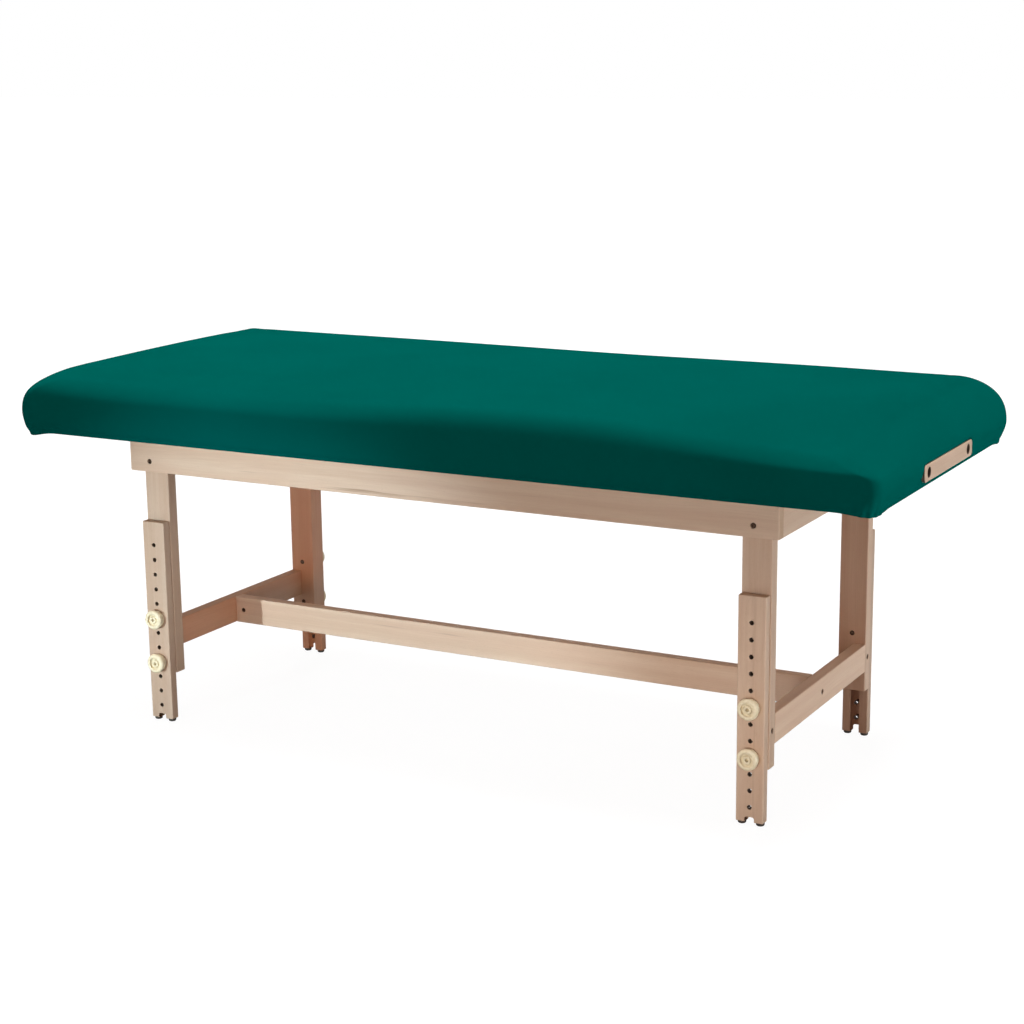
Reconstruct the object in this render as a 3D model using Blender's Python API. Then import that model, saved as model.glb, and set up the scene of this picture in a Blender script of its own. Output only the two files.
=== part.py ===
"""Massage table: a padded top on a maple base whose four legs slide to set the height.

Metres, +Z up.  +X is the head end (face-cradle outlets), -Y the front, z = 0 the floor.
"""
import math

import bmesh
import bpy
from mathutils import Matrix, Vector

# Clearance between pieces that touch, and how far a cutter runs past the face it opens
FIT = 0.0003
OVERSHOOT = 0.010

# Base frame
BASE_LENGTH = 1.440
BASE_WIDTH = 0.587
APRON_HEIGHT = 0.081
APRON_THICKNESS = 0.020
EDGE_ROUND = 0.0018

# Upper legs, fixed in the corners of the base frame
UPPER_LEG_WIDTH = 0.058
UPPER_LEG_THICKNESS = 0.027
UPPER_LEG_LENGTH = 0.5172
UPPER_LEG_TAIL = 0.0257
KEY_WIDTH = 0.0174
KEY_DEPTH = 0.0064
KEY_TOP = 0.040

# Lower legs, which slide on the outer face of the upper legs
LOWER_LEG_WIDTH = 0.054
LOWER_LEG_THICKNESS = 0.020
HOLE_PITCH = 0.03175
HOLE_COUNT = 12
HOLE_DIAMETER = 0.009
HOLE_FROM_FOOT = 0.0295
HOLE_FROM_TOP = 0.050
GROOVE_DEPTH = 0.007
NOTCH_HEIGHT = 0.0105
NOTCH_ROUND = 0.004
SET_HOLE = 3
CLAMP_SPAN = 3

# Foot glides, two under each lower leg
GLIDE_HEIGHT = 0.006
GLIDE_DIAMETER = 0.016
GLIDE_FLAT = 0.010
GLIDE_RIM_RISE = 0.003

# Clamp bolts and their knobs
CLAMP_BOLT_DIAMETER = 0.008
CLAMP_HEAD_DIAMETER = 0.0115
CLAMP_HEAD_HEIGHT = 0.003
KNOB_DIAMETER = 0.039
KNOB_THICKNESS = 0.018
KNOB_BASE_DIAMETER = 0.034
KNOB_ROUND = 0.005
KNOB_DISH_DIAMETER = 0.026
KNOB_DISH_DEPTH = 0.005
KNOB_BOSS_DIAMETER = 0.015
KNOB_BORE_DEPTH = 0.003

# Stretcher frame between the legs
RAIL_HEIGHT = 0.058
RAIL_THICKNESS = 0.025
RAIL_RISE = 0.071
TENON_HEIGHT = 0.040
TENON_THICKNESS = 0.012
TENON_LENGTH = 0.020
STRETCHER_THICKNESS = 0.025

# Joint bolts: socket heads sunk in counterbores
BOLT_DIAMETER = 0.006
BOLT_HEAD_DIAMETER = 0.0105
BOLT_HEAD_HEIGHT = 0.005
BOLT_SOCKET_DIAMETER = 0.005
BOLT_SOCKET_DEPTH = 0.0025
COUNTERBORE_DEPTH = 0.0065
COUNTERBORE_CLEARANCE = 0.0006
APRON_BOLT_RISE = 0.022
APRON_BOLT_LENGTH = 0.034
RAIL_BOLT_LENGTH = 0.036
STRETCHER_BOLT_LENGTH = 0.050
BARREL_NUT_DIAMETER = 0.010
BARREL_NUT_LENGTH = 0.022
BARREL_NUT_SETBACK = 0.020

# Padded top
TOP_LENGTH = 1.866
TOP_WIDTH = 0.776
TOP_THICKNESS = 0.1315
TOP_CROWN = 0.003
CROWN_RIDGE = 0.030
TOP_CORNER = 0.022
TOP_CORNER_GROWTH = 0.6
SIDE_DRAW_IN = 0.011
SIDE_FULL_HEIGHT = 0.018
END_ROLL = 0.065
SIDE_ROLL = 0.034
SIDE_ROLL_HEIGHT = 0.044
COVER_WALL = 0.003

# Board and rails inside the top
DECK_THICKNESS = 0.012
DECK_CORNER = 0.030
TOP_RAIL_HEIGHT = 0.042
TOP_RAIL_THICKNESS = 0.025
HEAD_RAIL_DEPTH = 0.090

# Face-cradle outlets in the head end
SOCKET_DIAMETER = 0.020
SOCKET_SPACING = 0.236
SOCKET_DEPTH = 0.080
SOCKET_RISE = 0.0152
PLATE_WIDTH = 0.286
PLATE_HEIGHT = 0.032
PLATE_THICKNESS = 0.006
PLATE_CORNER = 0.009

# Facets of round surfaces
HOLE_SIDES = 12
BOLT_SIDES = 12
KNOB_SIDES = 20
CORNER_STEPS = 5
ROLL_STEPS = 10
SIDE_STEPS = 4
CROWN_STEPS = 3
KNOB_ROLL_STEPS = 4
DOME_STEPS = 4
SMOOTH_ANGLE = math.radians(40)
WELD = 1e-6

# Heights worked out from the floor up
FIRST_HOLE_Z = GLIDE_HEIGHT + HOLE_FROM_FOOT
LOWER_LEG_LENGTH = HOLE_FROM_FOOT + (HOLE_COUNT - 1) * HOLE_PITCH + HOLE_FROM_TOP
CLAMP_Z = {
    "lower": FIRST_HOLE_Z + SET_HOLE * HOLE_PITCH,
    "upper": FIRST_HOLE_Z + (SET_HOLE + CLAMP_SPAN) * HOLE_PITCH,
}
UPPER_LEG_BOTTOM = CLAMP_Z["lower"] - UPPER_LEG_TAIL
UPPER_LEG_TOP = UPPER_LEG_BOTTOM + UPPER_LEG_LENGTH
DECK_BOTTOM = UPPER_LEG_TOP + FIT
APRON_BOTTOM = UPPER_LEG_TOP - APRON_HEIGHT
RAIL_Z = UPPER_LEG_BOTTOM + RAIL_RISE
TOP_RAIL_BOTTOM = DECK_BOTTOM + DECK_THICKNESS + FIT
SOCKET_Z = TOP_RAIL_BOTTOM + SOCKET_RISE

# Places worked out from the base frame
LEG_FACE_Y = BASE_WIDTH / 2 - APRON_THICKNESS - FIT
LEG_X = BASE_LENGTH / 2 - APRON_THICKNESS - FIT - UPPER_LEG_WIDTH / 2
LEG_SIDE_X = LEG_X + UPPER_LEG_WIDTH / 2
RAIL_X = LEG_SIDE_X - RAIL_THICKNESS / 2
RAIL_INNER_X = LEG_SIDE_X - RAIL_THICKNESS
UPPER_LEG_INNER_Y = LEG_FACE_Y - UPPER_LEG_THICKNESS
GROOVE_WIDTH = KEY_WIDTH + 2 * FIT
GROOVE_FLOOR = FIT + GROOVE_DEPTH
LOWER_LEG_FACE = FIT + LOWER_LEG_THICKNESS
FOOT_X = (LOWER_LEG_WIDTH + GROOVE_WIDTH) / 4
SOCKET_Y = SOCKET_SPACING / 2
BOX_HALF_LENGTH = TOP_LENGTH / 2 - SIDE_DRAW_IN - COVER_WALL
BOX_HALF_WIDTH = TOP_WIDTH / 2 - SIDE_DRAW_IN - COVER_WALL

CORNERS = [
    ("front_head", 1, -1),
    ("front_foot", -1, -1),
    ("back_head", 1, 1),
    ("back_foot", -1, 1),
]


def clear_scene():
    for item in list(bpy.data.objects):
        bpy.data.objects.remove(item, do_unlink=True)


def collection(name):
    group = bpy.data.collections.new(name)
    bpy.context.scene.collection.children.link(group)
    return group


def material(name, colour, roughness, metallic=0.0):
    mat = bpy.data.materials.new(name)
    mat.use_nodes = True
    shader = mat.node_tree.nodes["Principled BSDF"]
    shader.inputs["Base Color"].default_value = (*colour, 1)
    shader.inputs["Roughness"].default_value = roughness
    shader.inputs["Metallic"].default_value = metallic
    mat.diffuse_color = (*colour, 1)
    return mat


clear_scene()
PARTS = collection("massage_table")
CUTTERS = collection("cutters")

MAPLE = material("maple", (0.62, 0.45, 0.30), 0.42)
PLYWOOD = material("plywood", (0.60, 0.44, 0.27), 0.7)
VINYL = material("teal_vinyl", (0.0, 0.115, 0.10), 0.5)
KNOB_PLASTIC = material("cream_plastic", (0.70, 0.58, 0.38), 0.45)
ZINC = material("zinc_steel", (0.55, 0.54, 0.50), 0.35, 1.0)
BLACK_STEEL = material("black_steel", (0.03, 0.03, 0.03), 0.45, 1.0)
GLIDE_PLASTIC = material("glide_plastic", (0.05, 0.045, 0.04), 0.6)


def link(name, mesh, mat, parent=None, group=PARTS):
    """Puts a mesh in the scene as one named piece."""
    item = bpy.data.objects.new(name, mesh)
    group.objects.link(item)
    if mat is not None and not mesh.materials:
        mesh.materials.append(mat)
    item.parent = parent
    return item


def empty(name, location, turn=0.0):
    item = bpy.data.objects.new(name, None)
    item.location = location
    item.rotation_euler = (0, 0, turn)
    PARTS.objects.link(item)
    return item


def box_mesh(name, low, high, round_edges=0.0):
    """A box between two corners, with its edges rounded if asked."""
    low, high = Vector(low), Vector(high)
    bm = bmesh.new()
    bmesh.ops.create_cube(bm, size=1)
    bmesh.ops.scale(bm, vec=high - low, verts=bm.verts)
    bmesh.ops.translate(bm, vec=(low + high) / 2, verts=bm.verts)
    if round_edges:
        bmesh.ops.bevel(bm, geom=bm.edges[:], offset=round_edges, segments=2, profile=0.5, affect="EDGES")
    return finish_mesh(name, bm)


def rod_mesh(name, diameter, start, end, sides):
    """A plain round bar from one point to another."""
    start, end = Vector(start), Vector(end)
    bm = bmesh.new()
    turn = (end - start).to_track_quat("Z", "Y").to_matrix().to_4x4()
    place = Matrix.Translation((start + end) / 2) @ turn
    bmesh.ops.create_cone(
        bm, cap_ends=True, segments=sides, radius1=diameter / 2, radius2=diameter / 2,
        depth=(end - start).length, matrix=place,
    )
    return finish_mesh(name, bm)


def turned_mesh(name, profile, sides):
    """A piece turned about Z from (radius, height) points that run from the axis round to the axis."""
    bm = bmesh.new()
    points = [bm.verts.new((radius, 0, height)) for radius, height in profile]
    edges = [bm.edges.new(pair) for pair in zip(points, points[1:])]
    bmesh.ops.spin(
        bm, geom=points + edges, axis=(0, 0, 1), cent=(0, 0, 0), angle=math.tau, steps=sides,
        use_merge=True,
    )
    bmesh.ops.remove_doubles(bm, verts=bm.verts, dist=WELD)
    bmesh.ops.recalc_face_normals(bm, faces=bm.faces)
    mesh = finish_mesh(name, bm)
    mesh.shade_smooth()
    mesh.set_sharp_from_angle(angle=SMOOTH_ANGLE)
    return mesh


def finish_mesh(name, bm):
    mesh = bpy.data.meshes.new(name)
    bm.to_mesh(mesh)
    bm.free()
    return mesh


def shaped(name, blank, cuts=(), joins=()):
    """The blank with other meshes joined to it and cut from it, as one mesh."""
    piece = link(name, blank, None, group=CUTTERS)
    tools = [("UNION", mesh) for mesh in joins] + [("DIFFERENCE", mesh) for mesh in cuts]
    for operation, mesh in tools:
        tool = link(mesh.name, mesh, None, group=CUTTERS)
        tool.hide_render = True
        tool.display_type = "WIRE"
        step = piece.modifiers.new(operation.title(), "BOOLEAN")
        step.operation = operation
        step.solver = "EXACT"
        step.object = tool
    bpy.context.view_layer.update()
    graph = bpy.context.evaluated_depsgraph_get()
    mesh = bpy.data.meshes.new_from_object(piece.evaluated_get(graph))
    mesh.name = name
    mesh.materials.clear()
    for item in [step.object for step in piece.modifiers] + [piece]:
        bpy.data.objects.remove(item, do_unlink=True)
    return mesh


def bolt_mesh(name, length):
    """A socket-head bolt along +Z: the shank runs down from z = 0, the head stands above it."""
    shank, head, socket = BOLT_DIAMETER / 2, BOLT_HEAD_DIAMETER / 2, BOLT_SOCKET_DIAMETER / 2
    return turned_mesh(name, [
        (0, BOLT_HEAD_HEIGHT - BOLT_SOCKET_DEPTH),
        (socket, BOLT_HEAD_HEIGHT - BOLT_SOCKET_DEPTH),
        (socket, BOLT_HEAD_HEIGHT),
        (head, BOLT_HEAD_HEIGHT),
        (head, 0),
        (shank, 0),
        (shank, -length),
        (0, -length),
    ], BOLT_SIDES)


def bolt_cutters(name, face, inward, length):
    """The counterbore and the shank hole for a bolt that enters a face along a direction."""
    face, inward = Vector(face), Vector(inward)
    mouth = face - inward * OVERSHOOT
    seat = face + inward * COUNTERBORE_DEPTH
    tip = seat + inward * (length + 2 * FIT)
    wide = BOLT_HEAD_DIAMETER + 2 * COUNTERBORE_CLEARANCE
    return [
        rod_mesh(name + "_counterbore", wide, mouth, seat, BOLT_SIDES),
        rod_mesh(name + "_hole", BOLT_DIAMETER + 2 * FIT, face, tip, BOLT_SIDES),
    ]


def place_bolt(name, mesh, face, inward, parent):
    """Seats a bolt's head on the floor of its counterbore."""
    face, inward = Vector(face), Vector(inward)
    item = link(name, mesh, BLACK_STEEL, parent)
    item.location = face + inward * (COUNTERBORE_DEPTH - FIT)
    item.rotation_euler = (-inward).to_track_quat("Z", "Y").to_euler()
    return item


TABLE = empty("table_origin", (0, 0, 0))


# Aprons

APRON_BOLT_Z = APRON_BOTTOM + APRON_BOLT_RISE
apron_bolt = bolt_mesh("apron_bolt", APRON_BOLT_LENGTH)
for side, sign in (("front", -1), ("back", 1)):
    outer = sign * BASE_WIDTH / 2
    inner = sign * (BASE_WIDTH / 2 - APRON_THICKNESS)
    blank = box_mesh(
        "long_apron_blank",
        (-BASE_LENGTH / 2, min(inner, outer), APRON_BOTTOM),
        (BASE_LENGTH / 2, max(inner, outer), UPPER_LEG_TOP),
        EDGE_ROUND,
    )
    cuts = []
    for end in (-1, 1):
        face = (end * LEG_X, outer, APRON_BOLT_Z)
        cuts += bolt_cutters(f"apron_{side}_{end}", face, (0, -sign, 0), APRON_BOLT_LENGTH)
    link(f"long_apron_{side}", shaped(f"long_apron_{side}", blank, cuts), MAPLE, TABLE)

for end, sign in (("head", 1), ("foot", -1)):
    outer = sign * BASE_LENGTH / 2
    inner = sign * (BASE_LENGTH / 2 - APRON_THICKNESS)
    half = BASE_WIDTH / 2 - APRON_THICKNESS - FIT
    mesh = box_mesh(
        f"end_apron_{end}",
        (min(inner, outer), -half, APRON_BOTTOM),
        (max(inner, outer), half, UPPER_LEG_TOP),
        EDGE_ROUND,
    )
    link(f"end_apron_{end}", mesh, MAPLE, TABLE)


# Legs, modelled at the corner's own origin: +Y outward from the table, y = 0 on the sliding face

def clamp_cutters(start, end):
    holes = []
    for level, height in CLAMP_Z.items():
        diameter = CLAMP_BOLT_DIAMETER + 2 * FIT
        holes.append(rod_mesh(f"clamp_{level}", diameter, (0, start, height), (0, end, height), BOLT_SIDES))
    return holes


def upper_leg_mesh(hand):
    """hand is +1 where the rail meets the +X half of the leg, -1 where it meets the -X half."""
    half = UPPER_LEG_WIDTH / 2
    thick = UPPER_LEG_THICKNESS
    blank = box_mesh(
        "upper_leg_blank", (-half, -thick, UPPER_LEG_BOTTOM), (half, 0, UPPER_LEG_TOP), EDGE_ROUND,
    )
    key = box_mesh(
        "guide_key",
        (-KEY_WIDTH / 2, -thick / 2, UPPER_LEG_BOTTOM + EDGE_ROUND),
        (KEY_WIDTH / 2, KEY_DEPTH, CLAMP_Z["upper"] + KEY_TOP),
    )
    tenon_x = hand * (half - RAIL_THICKNESS / 2)
    wide = TENON_THICKNESS / 2 + FIT
    tall = TENON_HEIGHT / 2 + FIT
    mortise = box_mesh(
        "mortise",
        (tenon_x - wide, -thick - OVERSHOOT, RAIL_Z - tall),
        (tenon_x + wide, -thick + TENON_LENGTH + 2 * FIT, RAIL_Z + tall),
    )
    cuts = [mortise] + clamp_cutters(-thick - OVERSHOOT, KEY_DEPTH + OVERSHOOT)
    cuts += bolt_cutters("rail_bolt", (hand * half, -thick / 2, RAIL_Z), (-hand, 0, 0), RAIL_BOLT_LENGTH)
    apron_reach = COUNTERBORE_DEPTH + APRON_BOLT_LENGTH - APRON_THICKNESS + FIT
    cuts.append(rod_mesh(
        "apron_bolt_hole", BOLT_DIAMETER + 2 * FIT,
        (0, OVERSHOOT, APRON_BOLT_Z), (0, -apron_reach, APRON_BOLT_Z), BOLT_SIDES,
    ))
    return shaped(f"upper_leg_{hand}", blank, cuts, [key])


def lower_leg_mesh():
    half = LOWER_LEG_WIDTH / 2
    bottom, top = GLIDE_HEIGHT, GLIDE_HEIGHT + LOWER_LEG_LENGTH
    blank = box_mesh("lower_leg_blank", (-half, FIT, bottom), (half, LOWER_LEG_FACE, top), EDGE_ROUND)
    groove = box_mesh(
        "groove",
        (-GROOVE_WIDTH / 2, -OVERSHOOT, bottom - OVERSHOOT),
        (GROOVE_WIDTH / 2, GROOVE_FLOOR, top + OVERSHOOT),
    )
    cuts = [groove, notch_mesh(bottom)]
    for index in range(HOLE_COUNT):
        height = FIRST_HOLE_Z + index * HOLE_PITCH
        ends = (0, -OVERSHOOT, height), (0, LOWER_LEG_FACE + OVERSHOOT, height)
        cuts.append(rod_mesh(f"hole_{index}", HOLE_DIAMETER, *ends, HOLE_SIDES))
    return shaped("lower_leg", blank, cuts)


def notch_mesh(bottom):
    """The gap between a leg's two feet, with its upper corners rounded."""
    bm = bmesh.new()
    bmesh.ops.create_cube(bm, size=1)
    size = (GROOVE_WIDTH, LOWER_LEG_THICKNESS + 2 * OVERSHOOT, NOTCH_HEIGHT + OVERSHOOT)
    bmesh.ops.scale(bm, vec=size, verts=bm.verts)
    middle = (0, LOWER_LEG_THICKNESS / 2, bottom + (NOTCH_HEIGHT - OVERSHOOT) / 2)
    bmesh.ops.translate(bm, vec=middle, verts=bm.verts)
    upper = [edge for edge in bm.edges if all(vert.co.z > bottom for vert in edge.verts)]
    across = [edge for edge in upper if edge.verts[0].co.x == edge.verts[1].co.x]
    bmesh.ops.bevel(bm, geom=across, offset=NOTCH_ROUND, segments=3, profile=0.5, affect="EDGES")
    return finish_mesh("notch", bm)


def knob_mesh():
    """A thick round-rimmed knob, dished on its face round a boss; z = 0 lies on the leg."""
    rim, dish, boss = KNOB_DIAMETER / 2, KNOB_DISH_DIAMETER / 2, KNOB_BOSS_DIAMETER / 2
    bore = CLAMP_BOLT_DIAMETER / 2 + FIT
    top = KNOB_THICKNESS
    floor = top - KNOB_DISH_DEPTH
    centre = (rim - KNOB_ROUND, top - KNOB_ROUND)
    roll = []
    for step in range(KNOB_ROLL_STEPS + 1):
        angle = math.pi / 2 * (1 - step / KNOB_ROLL_STEPS)
        roll.append((centre[0] + KNOB_ROUND * math.cos(angle), centre[1] + KNOB_ROUND * math.sin(angle)))
    return turned_mesh("clamp_knob", [
        (0, top - KNOB_BORE_DEPTH),
        (bore, top - KNOB_BORE_DEPTH),
        (bore, top),
        (boss, top),
        (boss, floor),
        (dish, floor),
        *roll,
        (KNOB_BASE_DIAMETER / 2, 0),
        (0, 0),
    ], KNOB_SIDES)


def clamp_bolt_mesh():
    """A carriage bolt along +Z: domed head below z = 0, shank up to just short of the lower leg's web."""
    head, shank = CLAMP_HEAD_DIAMETER / 2, CLAMP_BOLT_DIAMETER / 2
    reach = UPPER_LEG_THICKNESS + GROOVE_FLOOR
    dome = []
    for step in range(DOME_STEPS + 1):
        angle = math.pi / 2 * step / DOME_STEPS
        dome.append((head * math.sin(angle), -CLAMP_HEAD_HEIGHT * math.cos(angle)))
    profile = dome + [(shank, 0), (shank, reach), (0, reach)]
    return turned_mesh("clamp_bolt", profile[::-1], BOLT_SIDES)


def glide_mesh():
    """A foot glide with a flat underside and a rounded edge."""
    flat, full = GLIDE_FLAT / 2, GLIDE_DIAMETER / 2
    top = GLIDE_HEIGHT - FIT
    return turned_mesh("foot_glide", [
        (0, top),
        (full, top),
        (full, GLIDE_RIM_RISE),
        (flat, 0),
        (0, 0),
    ], BOLT_SIDES)


upper_legs = {hand: upper_leg_mesh(hand) for hand in (-1, 1)}
lower_leg = lower_leg_mesh()
knob = knob_mesh()
clamp_bolt = clamp_bolt_mesh()
glide = glide_mesh()
rail_bolt = bolt_mesh("rail_bolt", RAIL_BOLT_LENGTH)

for corner, end, side in CORNERS:
    turn = 0.0 if side > 0 else math.pi
    hand = end * side
    place = (end * LEG_X, side * LEG_FACE_Y, 0)
    leg_corner = empty(f"corner_{corner}", place, turn)
    leg_corner.parent = TABLE
    link(f"upper_leg_{corner}", upper_legs[hand], MAPLE, leg_corner)
    slide = link(f"lower_leg_{corner}", lower_leg, MAPLE, leg_corner)
    for index, offset in ((1, -FOOT_X), (2, FOOT_X)):
        foot = link(f"foot_glide_{corner}_{index}", glide, GLIDE_PLASTIC, slide)
        foot.location = (offset, FIT + LOWER_LEG_THICKNESS / 2, 0)
    for level, height in CLAMP_Z.items():
        bolt = link(f"clamp_bolt_{corner}_{level}", clamp_bolt, BLACK_STEEL, leg_corner)
        bolt.location = (0, -UPPER_LEG_THICKNESS - FIT, height)
        bolt.rotation_euler = (math.radians(-90), 0, 0)
        grip = link(f"clamp_knob_{corner}_{level}", knob, KNOB_PLASTIC, leg_corner)
        grip.location = (0, LOWER_LEG_FACE + FIT, height)
        grip.rotation_euler = (math.radians(-90), 0, 0)
    face = (hand * UPPER_LEG_WIDTH / 2, -UPPER_LEG_THICKNESS / 2, RAIL_Z)
    place_bolt(f"rail_bolt_{corner}", rail_bolt, face, (-hand, 0, 0), leg_corner)
    outer = BASE_WIDTH / 2 - LEG_FACE_Y
    place_bolt(f"apron_bolt_{corner}", apron_bolt, (0, outer, APRON_BOLT_Z), (0, -1, 0), leg_corner)


# Stretcher frame

RAIL_HALF_LENGTH = UPPER_LEG_INNER_Y - FIT
STRETCHER_HALF_LENGTH = RAIL_INNER_X - FIT
NUT_X = STRETCHER_HALF_LENGTH - BARREL_NUT_SETBACK
stretcher_bolt = bolt_mesh("stretcher_bolt", STRETCHER_BOLT_LENGTH)
rail_low, rail_high = RAIL_Z - RAIL_HEIGHT / 2, RAIL_Z + RAIL_HEIGHT / 2

for end, sign in (("head", 1), ("foot", -1)):
    rail_x = sign * RAIL_X
    blank = box_mesh(
        "rail_blank",
        (rail_x - RAIL_THICKNESS / 2, -RAIL_HALF_LENGTH, rail_low),
        (rail_x + RAIL_THICKNESS / 2, RAIL_HALF_LENGTH, rail_high),
        EDGE_ROUND,
    )
    reach = UPPER_LEG_INNER_Y + TENON_LENGTH
    tenons = box_mesh(
        "tenons",
        (rail_x - TENON_THICKNESS / 2, -reach, RAIL_Z - TENON_HEIGHT / 2),
        (rail_x + TENON_THICKNESS / 2, reach, RAIL_Z + TENON_HEIGHT / 2),
    )
    face = (sign * LEG_SIDE_X, 0, RAIL_Z)
    cuts = bolt_cutters("stretcher_bolt", face, (-sign, 0, 0), STRETCHER_BOLT_LENGTH)
    bolt_y = UPPER_LEG_INNER_Y + UPPER_LEG_THICKNESS / 2
    for side in (-1, 1):
        start = (rail_x - RAIL_THICKNESS, side * bolt_y, RAIL_Z)
        stop = (rail_x + RAIL_THICKNESS, side * bolt_y, RAIL_Z)
        cuts.append(rod_mesh("tenon_bolt_hole", BOLT_DIAMETER + 2 * FIT, start, stop, BOLT_SIDES))
    link(f"end_rail_{end}", shaped(f"end_rail_{end}", blank, cuts, [tenons]), MAPLE, TABLE)
    place_bolt(f"stretcher_bolt_{end}", stretcher_bolt, face, (-sign, 0, 0), TABLE)

    nut_x = sign * NUT_X
    nut_half = BARREL_NUT_LENGTH / 2
    nut_blank = rod_mesh(
        "nut_blank", BARREL_NUT_DIAMETER, (nut_x, -nut_half, RAIL_Z), (nut_x, nut_half, RAIL_Z), BOLT_SIDES,
    )
    thread = rod_mesh(
        "nut_thread", BOLT_DIAMETER + 2 * FIT,
        (nut_x - BARREL_NUT_DIAMETER, 0, RAIL_Z), (nut_x + BARREL_NUT_DIAMETER, 0, RAIL_Z), BOLT_SIDES,
    )
    link(f"barrel_nut_{end}", shaped(f"barrel_nut_{end}", nut_blank, [thread]), ZINC, TABLE)

blank = box_mesh(
    "stretcher_blank",
    (-STRETCHER_HALF_LENGTH, -STRETCHER_THICKNESS / 2, rail_low),
    (STRETCHER_HALF_LENGTH, STRETCHER_THICKNESS / 2, rail_high),
    EDGE_ROUND,
)
cuts = []
for sign in (-1, 1):
    face = (sign * LEG_SIDE_X, 0, RAIL_Z)
    cuts.append(bolt_cutters(f"stretcher_end_{sign}", face, (-sign, 0, 0), STRETCHER_BOLT_LENGTH)[1])
    cuts.append(rod_mesh(
        f"nut_hole_{sign}", BARREL_NUT_DIAMETER + 2 * FIT,
        (sign * NUT_X, -STRETCHER_THICKNESS, RAIL_Z), (sign * NUT_X, STRETCHER_THICKNESS, RAIL_Z), BOLT_SIDES,
    ))
link("centre_stretcher", shaped("centre_stretcher", blank, cuts), MAPLE, TABLE)


# Board and rails inside the top

def deck_mesh(name, grow, low, high):
    """The deck's outline with its rounded corners, between two heights."""
    size = (2 * (BOX_HALF_LENGTH + grow), 2 * (BOX_HALF_WIDTH + grow), high - low)
    bm = bmesh.new()
    bmesh.ops.create_cube(bm, size=1)
    bmesh.ops.scale(bm, vec=size, verts=bm.verts)
    bmesh.ops.translate(bm, vec=(0, 0, (low + high) / 2), verts=bm.verts)
    corners = [edge for edge in bm.edges if edge.verts[0].co.z != edge.verts[1].co.z]
    bmesh.ops.bevel(bm, geom=corners, offset=DECK_CORNER + grow, segments=4, profile=0.5, affect="EDGES")
    return finish_mesh(name, bm)


deck = deck_mesh("deck_panel", 0, DECK_BOTTOM, DECK_BOTTOM + DECK_THICKNESS)
link("deck_panel", deck, PLYWOOD, TABLE)

def socket_cutters(diameter, x_low, x_high):
    cuts = []
    for side in (-1, 1):
        ends = (x_low, side * SOCKET_Y, SOCKET_Z), (x_high, side * SOCKET_Y, SOCKET_Z)
        cuts.append(rod_mesh(f"socket_{side}", diameter, *ends, KNOB_SIDES))
    return cuts


RAIL_TOP = TOP_RAIL_BOTTOM + TOP_RAIL_HEIGHT
SIDE_RAIL_INNER = BOX_HALF_WIDTH - TOP_RAIL_THICKNESS
FOOT_RAIL_INNER = BOX_HALF_LENGTH - TOP_RAIL_THICKNESS
HEAD_RAIL_INNER = BOX_HALF_LENGTH - HEAD_RAIL_DEPTH
END_RAIL_HALF = SIDE_RAIL_INNER - FIT
top_rails = {
    "top_rail_front": ((-BOX_HALF_LENGTH, -BOX_HALF_WIDTH), (BOX_HALF_LENGTH, -SIDE_RAIL_INNER)),
    "top_rail_back": ((-BOX_HALF_LENGTH, SIDE_RAIL_INNER), (BOX_HALF_LENGTH, BOX_HALF_WIDTH)),
    "top_rail_foot": ((-BOX_HALF_LENGTH, -END_RAIL_HALF), (-FOOT_RAIL_INNER, END_RAIL_HALF)),
    "top_rail_head": ((HEAD_RAIL_INNER, -END_RAIL_HALF), (BOX_HALF_LENGTH, END_RAIL_HALF)),
}
pockets = []
for name, (low, high) in top_rails.items():
    mesh = box_mesh(name, (*low, TOP_RAIL_BOTTOM), (*high, RAIL_TOP))
    if name == "top_rail_head":
        bores = socket_cutters(SOCKET_DIAMETER, BOX_HALF_LENGTH - SOCKET_DEPTH, BOX_HALF_LENGTH + OVERSHOOT)
        mesh = shaped(name, mesh, bores)
    link(name, mesh, MAPLE, TABLE)
    pockets.append(box_mesh(
        f"{name}_pocket",
        (low[0] - FIT, low[1] - FIT, DECK_BOTTOM + DECK_THICKNESS),
        (high[0] + FIT, high[1] + FIT, RAIL_TOP + FIT),
    ))


# Padded top

def ring_points(end_inset, side_inset, height):
    """A rounded rectangle of the top's plan, drawn in from its outline; its corners open out over the roll."""
    radius = TOP_CORNER + TOP_CORNER_GROWTH * min(end_inset, END_ROLL)
    half_x = TOP_LENGTH / 2 - end_inset - radius
    half_y = TOP_WIDTH / 2 - side_inset - radius
    points = []
    for quarter, (sx, sy) in enumerate(((1, 1), (-1, 1), (-1, -1), (1, -1))):
        for step in range(CORNER_STEPS + 1):
            angle = math.pi / 2 * (quarter + step / CORNER_STEPS)
            points.append(Vector((
                sx * half_x + radius * math.cos(angle), sy * half_y + radius * math.sin(angle), height,
            )))
    return points


def side_profile():
    """(end inset, side inset, height) from the bottom edge out to the full size and over the rolled edges."""
    base = DECK_BOTTOM
    full = base + SIDE_FULL_HEIGHT
    roll_height = TOP_THICKNESS - TOP_CROWN - SIDE_FULL_HEIGHT
    profile = []
    for step in range(SIDE_STEPS):
        share = step / SIDE_STEPS
        inset = SIDE_DRAW_IN * (1 - share) ** 2
        profile.append((inset, inset, base + SIDE_FULL_HEIGHT * share))
    for step in range(ROLL_STEPS + 1):
        angle = math.pi / 2 * step / ROLL_STEPS
        climb = roll_height * math.sin(angle)
        share = max(0, 1 - (roll_height - climb) / SIDE_ROLL_HEIGHT)
        side_inset = SIDE_ROLL * (1 - math.sqrt(1 - share ** 2))
        profile.append((END_ROLL * (1 - math.cos(angle)), side_inset, full + climb))
    return profile


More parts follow.
